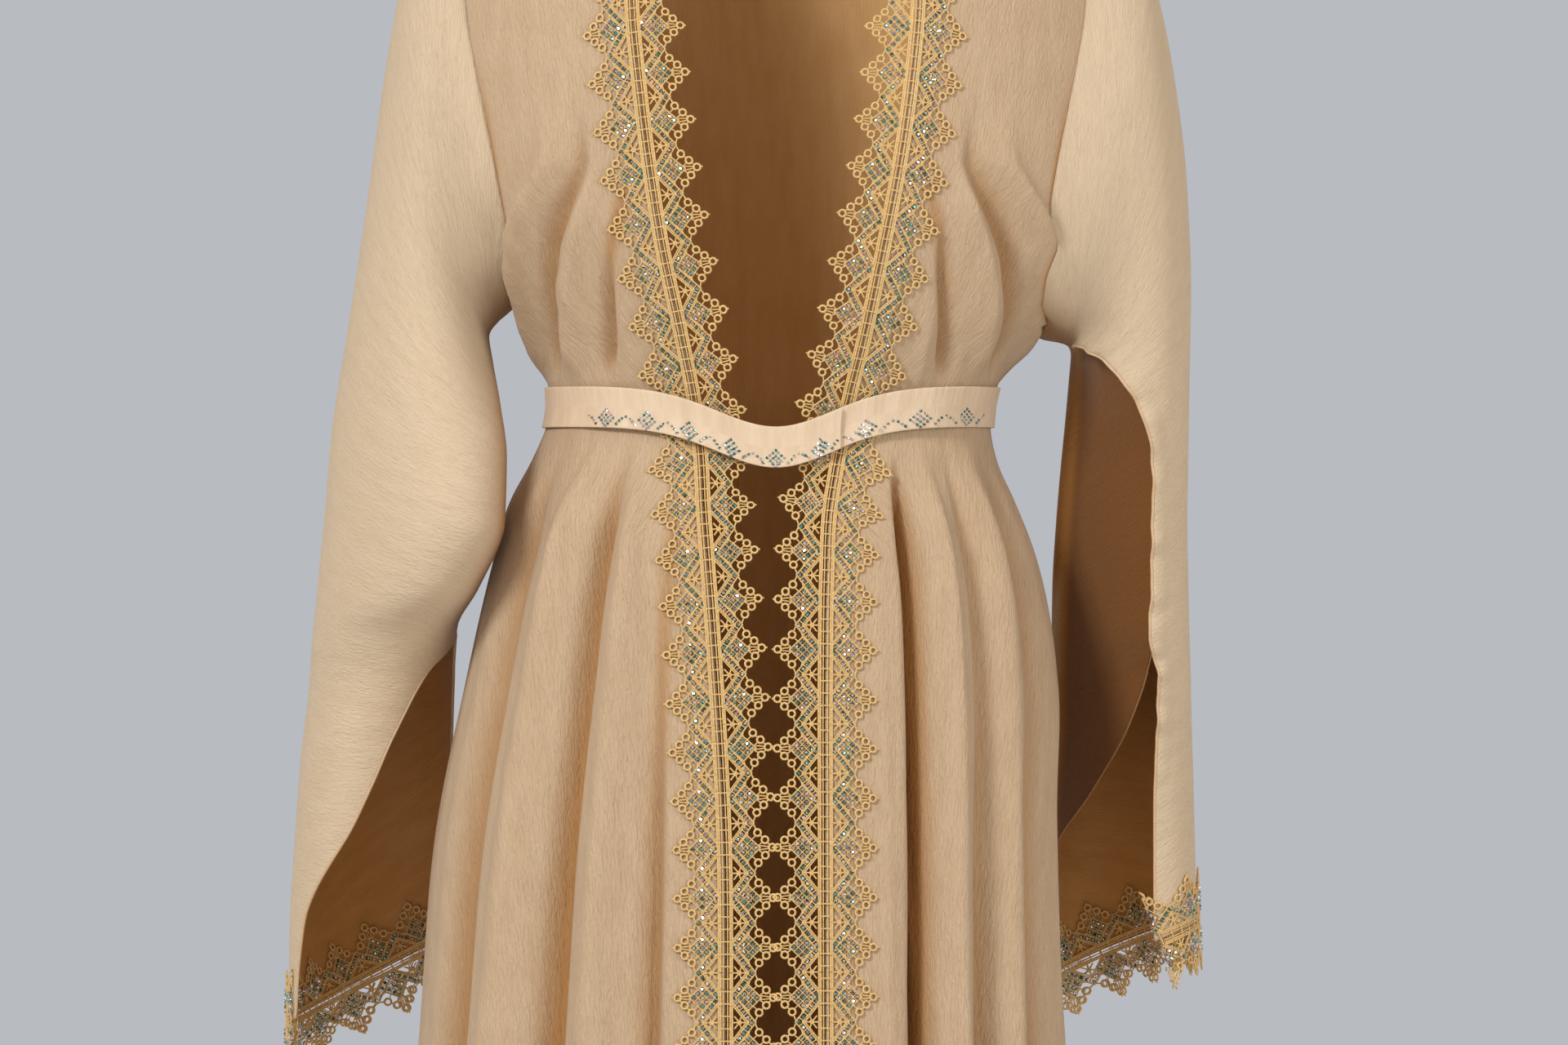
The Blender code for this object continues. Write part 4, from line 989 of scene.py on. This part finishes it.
def make_carrier(grid, edge, outward):
    """Rows cross the edge. Gives points and normals at even distances from the edge."""
    normals = grid_normals(grid, outward)
    across = np.linspace(-CARRIER_HALF, CARRIER_HALF, round(2 * CARRIER_HALF / CARRIER_STEP) + 1)
    read = {"points": [], "normals": []}
    for line, line_normals in zip(grid, normals):
        reached = distances(line)
        reached -= reached[edge]
        for kind, values in (("points", line), ("normals", line_normals)):
            columns = [np.interp(across, reached, values[:, k]) for k in range(3)]
            read[kind].append(np.stack(columns, 1))
    points, turned = np.array(read["points"]), unit(np.array(read["normals"]))
    middle = len(across) // 2
    along = distances(points[:, middle])
    heading = unit(np.gradient(points[:, middle], axis=0))
    slant = np.sum(unit(points[:, middle + 2] - points[:, middle - 2]) * heading, axis=1)
    return {"points": points, "normals": turned, "along": along, "slant": slant,
            "length": float(along[-1])}


def on_carrier(carrier, along, across):
    """Points and normals at places along the edge and across it."""
    slant = np.interp(along, carrier["along"], carrier["slant"])
    stretch = np.sqrt(1.0 - slant**2)
    along = along - across * slant / stretch
    rows = len(carrier["along"])
    row = np.interp(along, carrier["along"], np.arange(rows))
    step = carrier["length"] / (rows - 1)
    row = row + np.minimum(along, 0.0) / step + np.maximum(along - carrier["length"], 0.0) / step
    column = (across / stretch + CARRIER_HALF) / CARRIER_STEP
    low = np.clip(np.floor(row).astype(int), 0, rows - 2)
    left = np.clip(np.floor(column).astype(int), 0, carrier["points"].shape[1] - 2)
    s, t = (row - low)[:, None], (column - left)[:, None]

    def read(values, s):
        first = values[low, left] * (1 - t) + values[low, left + 1] * t
        second = values[low + 1, left] * (1 - t) + values[low + 1, left + 1] * t
        return first * (1 - s) + second * s

    return read(carrier["points"], s), unit(read(carrier["normals"], np.clip(s, 0.0, 1.0)))


def front_carrier(side):
    levels = body_levels(120, 420)
    past_edge = -np.linspace(0.5, 0.0, 40)
    across = np.concatenate([past_edge[:-1], np.linspace(0.0, 0.5, 60)])
    grid = front_surface(side, across[None, :], levels[:, None])
    return make_carrier(grid, len(past_edge) - 1, (SIDES[side], -1.0, 0.0))


def cuff_carrier(side):
    last = cuff_row(side)
    above, below = np.linspace(last - 1.0, last, 30), np.linspace(last, last + 1.0, 24)
    grid = sleeve_surface(side, np.linspace(0.0, 1.0, 400)[:, None],
                          np.concatenate([above, below[1:]])[None, :])
    edge = len(above) - 1
    return make_carrier(grid, edge, grid[len(grid) // 2, edge] - grid[:, edge].mean(axis=0))


carriers = {f"{side}_front": front_carrier(side) for side in SIDES}
carriers.update({f"{side}_cuff": cuff_carrier(side) for side in SIDES})
for name, carrier in carriers.items():
    print(name, "edge is", round(carrier["length"], 3), "m long")

# %% [markdown]
# ## Sew on the lace
# The fronts carry one strip each, with the ladder on the cloth's edge, so half of the lace
# hangs past it. At a cuff a strip lies on each face of the cloth. Stones take their rainbow
# tint by lot, with a seed, so that every run gives the same cloak. The lot also makes single
# facets white or near black, which are painted glints and painted dark reflections.

# %% Copy the repeat along each edge
FRONT_LACE_START = 0.006
LACE_ON_CLOTH = 0.0010
STONE_FACETS = STONE_SIDES + 1


def tint_facets_and_paint_glints(mesh, rng):
    """Each stone has a colour of its own, and each of its facets strays from it; facets that land
    on the ramp's white or near black are painted glints and painted dark reflections.
    """
    stones = len(mesh.polygons) // STONE_FACETS
    tints = rng.random((stones, 1)) + rng.normal(0.0, 0.16, (stones, STONE_FACETS))
    values = np.mod(tints, 1.0).astype(np.float32).ravel()
    mesh.attributes["tint"].data.foreach_set("value", values)


def lay_strip(name, source, carrier, start, end, lift, face, seed):
    """face is 1 on the cloth's outer side and -1 on its inner side."""
    length = end - start
    repeats = max(1, round(length / LACE_PITCH))
    pitch = length / repeats
    plain = mesh_points(source.data)
    probe, normal = on_carrier(carrier, np.array([start, start + 0.01, start]),
                               np.array([0.0, 0.0, 0.01]))
    turn = np.dot(np.cross(probe[2] - probe[0], probe[1] - probe[0]), normal[0]) * face
    hand = 1.0 if turn > 0 else -1.0
    rng = np.random.default_rng(seed)
    strip = []
    for number in range(repeats + 1):
        piece = own_copy(source)
        along = start + number * pitch + plain[:, 1] * pitch / LACE_PITCH
        across = hand * plain[:, 0]
        point, normal = on_carrier(carrier, along, across)
        height = lift(along) + plain[:, 2]
        set_points(piece.data, point + normal * (face * height)[:, None])
        if source == repeat_stones:
            tint_facets_and_paint_glints(piece.data, rng)
        strip.append(piece)
        if number in (0, repeats):
            trim_half(piece, along, start, end)
    select_only(*strip)
    bpy.ops.object.join()
    strip[0].name = strip[0].data.name = name
    return strip[0]


def trim_half(piece, along, start, end):
    """Cut away what lies past the strip's ends."""
    outside = (along < start - 0.0005) | (along > end + 0.0005)
    bpy.ops.object.select_all(action="DESELECT")
    bpy.context.view_layer.objects.active = piece
    piece.data.polygons.foreach_set("select", np.zeros(len(piece.data.polygons), bool))
    piece.data.edges.foreach_set("select", np.zeros(len(piece.data.edges), bool))
    piece.data.vertices.foreach_set("select", outside)
    bpy.ops.object.mode_set(mode="EDIT")
    bpy.ops.mesh.select_mode(type="VERT")
    bpy.ops.mesh.delete(type="VERT")
    bpy.ops.object.mode_set(mode="OBJECT")


def front_lift(along):
    return LACE_ON_CLOTH + 0.0030 * ease(1.0 - along / 0.20)


def even_lift(gap):
    return lambda along: np.full(np.shape(along), gap)


def trim_piece(thing, cloth, node=None):
    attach(thing, "root")
    if node:
        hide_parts(node)
    trims[cloth].append(thing)


for seed, side in enumerate(SIDES):
    carrier = carriers[f"{side}_front"]
    ends = (FRONT_LACE_START, carrier["length"])
    for kind, source in (("", repeat_thread), ("_stones", repeat_stones)):
        strip = lay_strip(f"{side}_front_gold_lace{kind}", source, carrier, *ends, front_lift,
                          1, seed)
        trim_piece(strip, f"{side}_front", None if kind else f"{side}_front_lace")
        print(strip.name, len(strip.data.polygons), "faces")
    carrier = carriers[f"{side}_cuff"]
    for face, gap in (("outer", LACE_ON_CLOTH), ("inner", CLOTH_THICKNESS + LACE_ON_CLOTH)):
        for kind, source in (("", repeat_thread), ("_stones", repeat_stones)):
            strip = lay_strip(f"{side}_cuff_gold_lace_{face}{kind}", source, carrier, 0.0,
                              carrier["length"], even_lift(gap), 1 if face == "outer" else -1,
                              seed + 10)
            node = None if kind else f"{side}_cuff_lace_{face}"
            trim_piece(strip, f"{side}_sleeve", node)
for part in (repeat_thread, repeat_stones):
    bpy.data.objects.remove(part)

# %% [markdown]
# ## Narrow hems
# The slit, the neck and the lower edge are finished with a narrow rolled hem: the edge is
# turned in on itself into a little cord. It could be a Bevel on the sheet, but a tube laid
# along the edge is what a rolled hem looks like. It starts as a grid that is wrapped round.

# %% Roll the hems
HEM_RADIUS = 0.0011
HEM_SIDES = 8
LAP_TOP_ROW = 3.5
WELD = 0.00002


def close_tube(thing, material, capped=False):
    """Weld a wrapped grid's long edges, cap its ends if asked and turn its faces outwards."""
    bpy.ops.object.mode_set(mode="EDIT")
    bpy.ops.mesh.select_all(action="SELECT")
    bpy.ops.mesh.remove_doubles(threshold=WELD)
    if capped:
        bpy.ops.mesh.select_all(action="DESELECT")
        bpy.ops.mesh.select_non_manifold()
        bpy.ops.mesh.edge_face_add()
        bpy.ops.mesh.select_all(action="SELECT")
    bpy.ops.mesh.normals_make_consistent(inside=False)
    bpy.ops.object.mode_set(mode="OBJECT")
    thing.data.shade_smooth()
    thing.data.materials.append(material)


def rolled_hem(name, line, normals, material, radius=HEM_RADIUS):
    """A closed tube along a line of points."""
    heading = unit(np.gradient(line, axis=0))
    side = unit(np.cross(heading, normals))
    up = np.cross(side, heading)
    turns = np.linspace(0.0, 2 * math.pi, HEM_SIDES + 1)[None, :, None]
    size = np.full(len(line), radius)
    size[0] = size[-1] = radius * 0.05
    around = np.cos(turns) * side[:, None, :] + np.sin(turns) * up[:, None, :]
    thing = plain_grid(name, len(line), HEM_SIDES + 1)
    set_points(thing.data, line[:, None, :] + size[:, None, None] * around)
    close_tube(thing, material)
    return thing


# name, tone painted as shade in the twist's grooves, tone painted as light on its raised strands,
# roughness, turns of the thread per metre, height of the bump
hem_crepe = thread_material("rolled_hem_crepe", (0.60, 0.42, 0.25, 1.0), (0.72, 0.53, 0.34, 1.0),
                            0.6, 700.0, 0.0002)
shaded_hem_crepe = thread_material("shaded_hem_crepe", (0.34, 0.19, 0.075, 1.0),
                                   (0.44, 0.26, 0.115, 1.0), 0.6, 700.0, 0.0002)
for side in SIDES:
    grid = sheets[f"{side}_sleeve"][1]
    normals = grid_normals(grid, out_of_sleeve(grid))
    rows = sleeve_rows(side, len(grid))
    for edge, column in (("front", 0), ("back", -1)):
        lapped = side == "left" and edge == "front"
        free = rows >= (LAP_TOP_ROW if lapped else SLIT_TOP_ROW[side])
        line = grid[free, column] - normals[free, column] * CLOTH_THICKNESS / 2
        under = side == "left" and edge == "back"
        hem = rolled_hem(f"{side}_slit_hem_{edge}", line, normals[free, column],
                         shaded_hem_crepe if under else hem_crepe,
                         HEM_RADIUS * (0.6 if under else 1.0))
        trim_piece(hem, f"{side}_sleeve")
for name in ("right_front", "left_front", "back"):
    grid = sheets[name][1]
    outward = (0, 1, 0) if name == "back" else (SIDES[name.split("_")[0]], -1, 0)
    normals = grid_normals(grid, outward)
    line = grid[-1] - normals[-1] * CLOTH_THICKNESS / 2 + np.array([0.0, 0.0, HEM_RADIUS])
    trim_piece(rolled_hem(f"{name}_lower_hem", line, normals[-1], hem_crepe), name)
grid = sheets["back"][1]
across = np.linspace(-1.0, 1.0, grid.shape[1])
neck = np.abs(across) <= NECK_HALF / SHOULDER_TIP + 0.01
normals = grid_normals(grid, (0, 1, 0))
trim_piece(rolled_hem("neck_hem", grid[0, neck], normals[0, neck], hem_crepe), "back")
print("hems:", sum(len(things) for things in trims.values()), "trims so far")

# %% [markdown]
# ## The belt
# A narrow band of the same crepe, folded double, goes once round the waist and laps over its
# own end. It dips at the centre front. Its lower edge carries a zigzag of stones, with a
# diamond of stones in each bay.

# %% Lay the belt
BELT_CLOTH = 0.002
BELT_GAP = 0.0013
BELT_GAP_OVER_LACE = 0.0052
BELT_START = math.radians(-8)
BELT_SWEEP = math.radians(390)
BELT_COLUMNS = 900
GATHER_HEIGHT = 0.00012
LACE_REACH_AT_BELT = (math.radians(50), math.radians(68))
LAP_FROM, LAP_REACH = math.radians(318), math.radians(26)


def belt_face(swept, drop):
    """The belt's inner face at an angle swept from its start, and the outward direction."""
    angle = (BELT_START + swept + math.pi) % (2 * math.pi) - math.pi
    near, far = LACE_REACH_AT_BELT
    over_lace = 1.0 - ease((np.abs(angle) - near) / (far - near))
    gap = BELT_GAP + (BELT_GAP_OVER_LACE - BELT_GAP) * over_lace
    lap = ease((swept - LAP_FROM) / LAP_REACH)
    gap = gap + (BELT_CLOTH + 0.0008) * lap
    half = np.where(angle < 0, curve(SECTIONS, 1, drop), curve(SECTIONS, 2, drop))
    front = np.abs(angle) <= math.pi / 2
    depth = np.where(front, curve(SECTIONS, 3, drop), curve(SECTIONS, 4, drop))
    radius = oval_radius(angle, half, depth) + gap
    out = np.stack([np.sin(angle), -np.cos(angle), np.zeros_like(angle)], axis=-1)
    down = np.array([0, 0, 1.0]) * (drop + dip(angle, drop))[..., None]
    return out * radius[..., None] - down, out


def belt_section(sides=20):
    """Places round the band's rounded section, as height from the middle and thickness."""
    turns = np.linspace(0.0, 2 * math.pi, sides + 1)
    high = np.sign(np.sin(turns)) * np.abs(np.sin(turns)) ** 0.35 * BELT_WIDTH / 2
    thick = (np.sign(np.cos(turns)) * np.abs(np.cos(turns)) ** 0.5 + 1.0) / 2 * BELT_CLOTH
    return high, thick


high, thick = belt_section()
swept = np.linspace(0.0, BELT_SWEEP, BELT_COLUMNS)
place, out = belt_face(*np.broadcast_arrays(swept[:, None], BELT_DROP - high[None, :]))
gathers = np.sin(150 * swept + 2.0 * np.sin(11 * swept))[:, None] * ease((high - 0.003) / 0.009)
belt_points = place + out * (thick + GATHER_HEIGHT * gathers)[..., None]
belt = plain_grid("tie_belt", len(swept), len(high))
belt_length = float(distances(place[:, 0])[-1])
along = np.linspace(0.0, belt_length, len(swept))[:, None]
across = np.cumsum(np.abs(np.gradient(high)))[None, :]
set_uv(belt.data, np.stack(np.broadcast_arrays(across, along), axis=-1))
set_points(belt.data, belt_points)
close_tube(belt, belt_crepe, capped=True)
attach(belt, "root")
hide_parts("belt")
print("the belt is", round(belt_length, 3), "m long")

# %% Set the belt's stones
BELT_MOTIF = 0.0310
BELT_STONE_HALF = 0.142
BELT_STONE_RADIUS = 0.00128
BELT_RADIUS = 0.105
stone = faceted_stone("belt_stone", BELT_STONE_RADIUS)
# each stone of one bay: its distance from the bay's middle and from the belt's lower edge
motif = [(0.0, 0.0125), (-0.0019, 0.0106), (0.0019, 0.0106), (-0.0038, 0.0087), (0.0, 0.0087),
         (0.0038, 0.0087), (-0.0057, 0.0068), (-0.0019, 0.0068), (0.0019, 0.0068),
         (0.0057, 0.0068), (-0.0038, 0.0049), (0.0, 0.0049), (0.0038, 0.0049),
         (-0.0019, 0.0030), (0.0019, 0.0030), (0.0, 0.0013),
         (-0.0085, 0.0030), (-0.0105, 0.0050), (-0.0125, 0.0068), (-0.0155, 0.0082),
         (0.0085, 0.0030), (0.0105, 0.0050), (0.0125, 0.0068)]
settled = []
rng = np.random.default_rng(5)
sweeps = np.linspace(math.radians(270), BELT_SWEEP, BELT_COLUMNS)
reached = distances(belt_face(sweeps, np.full(BELT_COLUMNS, BELT_DROP))[0])
middle = float(np.interp(math.radians(368), sweeps, reached))
for bay in range(-5, 6):
    for dx, up in motif:
        offset = bay * BELT_MOTIF + dx
        if abs(offset) > BELT_STONE_HALF:
            continue
        sweep = np.array([np.interp(middle + offset, reached, sweeps)])
        if middle + offset > reached[-1]:
            sweep = sweep - 2 * math.pi + (middle + offset - reached[-1]) / BELT_RADIUS
        drop = np.array([BELT_DROP + BELT_WIDTH / 2 - up])
        point, out = belt_face(sweep, drop)
        copy = own_copy(stone)
        copy.location = (point + out * (BELT_CLOTH + 0.0004))[0]
        copy.rotation_euler = (math.pi / 2 + rng.uniform(-0.2, 0.2), rng.uniform(0, 0.7),
                               math.atan2(out[0, 0], -out[0, 1]) + rng.uniform(-0.2, 0.2))
        copy.data.attributes.new("tint", "FLOAT", "FACE")
        settled.append(copy)
bpy.data.objects.remove(stone)
belt_stones = joined(settled, "belt_stones")
tint_facets_and_paint_glints(belt_stones.data, rng)
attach(belt_stones, "root")
print("stones on the belt:", len(settled))

# %% [markdown]
# ## Attach the sheets
# Each sheet rides on the root, and the plain wall of its cut piece is hidden.

# %% Ride and replace
for name, (thing, grid) in sheets.items():
    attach(thing, "root")
    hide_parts(name)

# %% [markdown]
# ## A plain studio
# The cloak hangs as on a wearer, so nothing stands under it. A pale floor lies below, a warm
# world lights it evenly, and a large soft lamp from the upper left in front shapes the folds.

# %% Floor, light and camera
select_only()
bpy.ops.mesh.primitive_circle_add(vertices=96, radius=4.0, fill_type="NGON",
                                  location=(0, 0, -1.46))
floor = bpy.context.object
floor.name = "studio_floor"
floor_paint, _, _ = new_material("pale_floor", 0.7, Base_Color=(0.62, 0.64, 0.66, 1.0))
floor.data.materials.append(floor_paint)

world = bpy.data.worlds.new("pale_studio")
bpy.context.scene.world = world
world.use_nodes = True
background = world.node_tree.nodes["Background"]
seen = put(world.node_tree, "ShaderNodeBackground", in_Strength=1.0)
seen.inputs["Color"].default_value = (0.480, 0.496, 0.530, 1.0)
background.inputs["Color"].default_value = (1.0, 0.82, 0.64, 1.0)
background.inputs["Strength"].default_value = 0.46
bpy.context.scene.view_settings.view_transform = "Standard"
ray = put(world.node_tree, "ShaderNodeLightPath")
choose = put(world.node_tree, "ShaderNodeMixShader", [(ray.outputs["Is Camera Ray"], 0),
             (background.outputs[0], 1), (seen.outputs[0], 2)])
world.node_tree.links.new(choose.outputs[0], world.node_tree.nodes["World Output"].inputs[0])


def soft_lamp(name, location, aim, size, power, colour=(1.0, 1.0, 1.0)):
    bpy.ops.object.light_add(type="AREA", location=location)
    lamp = bpy.context.object
    lamp.name = name
    lamp.data.shape, lamp.data.size, lamp.data.energy = "DISK", size, power
    lamp.data.color = colour
    away = np.array(location, float) - np.array(aim, float)
    lamp.rotation_euler = (math.acos(away[2] / np.linalg.norm(away)), 0.0,
                           math.atan2(away[1], away[0]) + math.pi / 2)
    return lamp


soft_lamp("key", (-2.3, -3.4, 1.9), (0.0, 0.0, -0.5), 1.2, 128.0, (1.0, 0.985, 0.95))
soft_lamp("fill", (3.0, -2.9, 0.4), (0.0, 0.0, -0.6), 2.0, 52.0, (1.0, 0.97, 0.92))
soft_lamp("back", (0.5, 3.5, 1.8), (0.0, 0.0, -0.5), 2.0, 35.0)

PHOTO_WIDTH = 1.0667
FRONT_PLANE = -0.12
CAMERA_AWAY = 6.0
bpy.ops.object.camera_add(location=(0.0056, FRONT_PLANE - CAMERA_AWAY, -0.4956),
                          rotation=(math.pi / 2, 0.0, 0.0))
camera = bpy.context.object
camera.data.sensor_width = 36.0
camera.data.lens = 36.0 * CAMERA_AWAY / PHOTO_WIDTH
camera.data.clip_end = 100.0
bpy.context.scene.camera = camera
print("lens", round(camera.data.lens), "mm")

# %% Finish
bpy.context.view_layer.update()
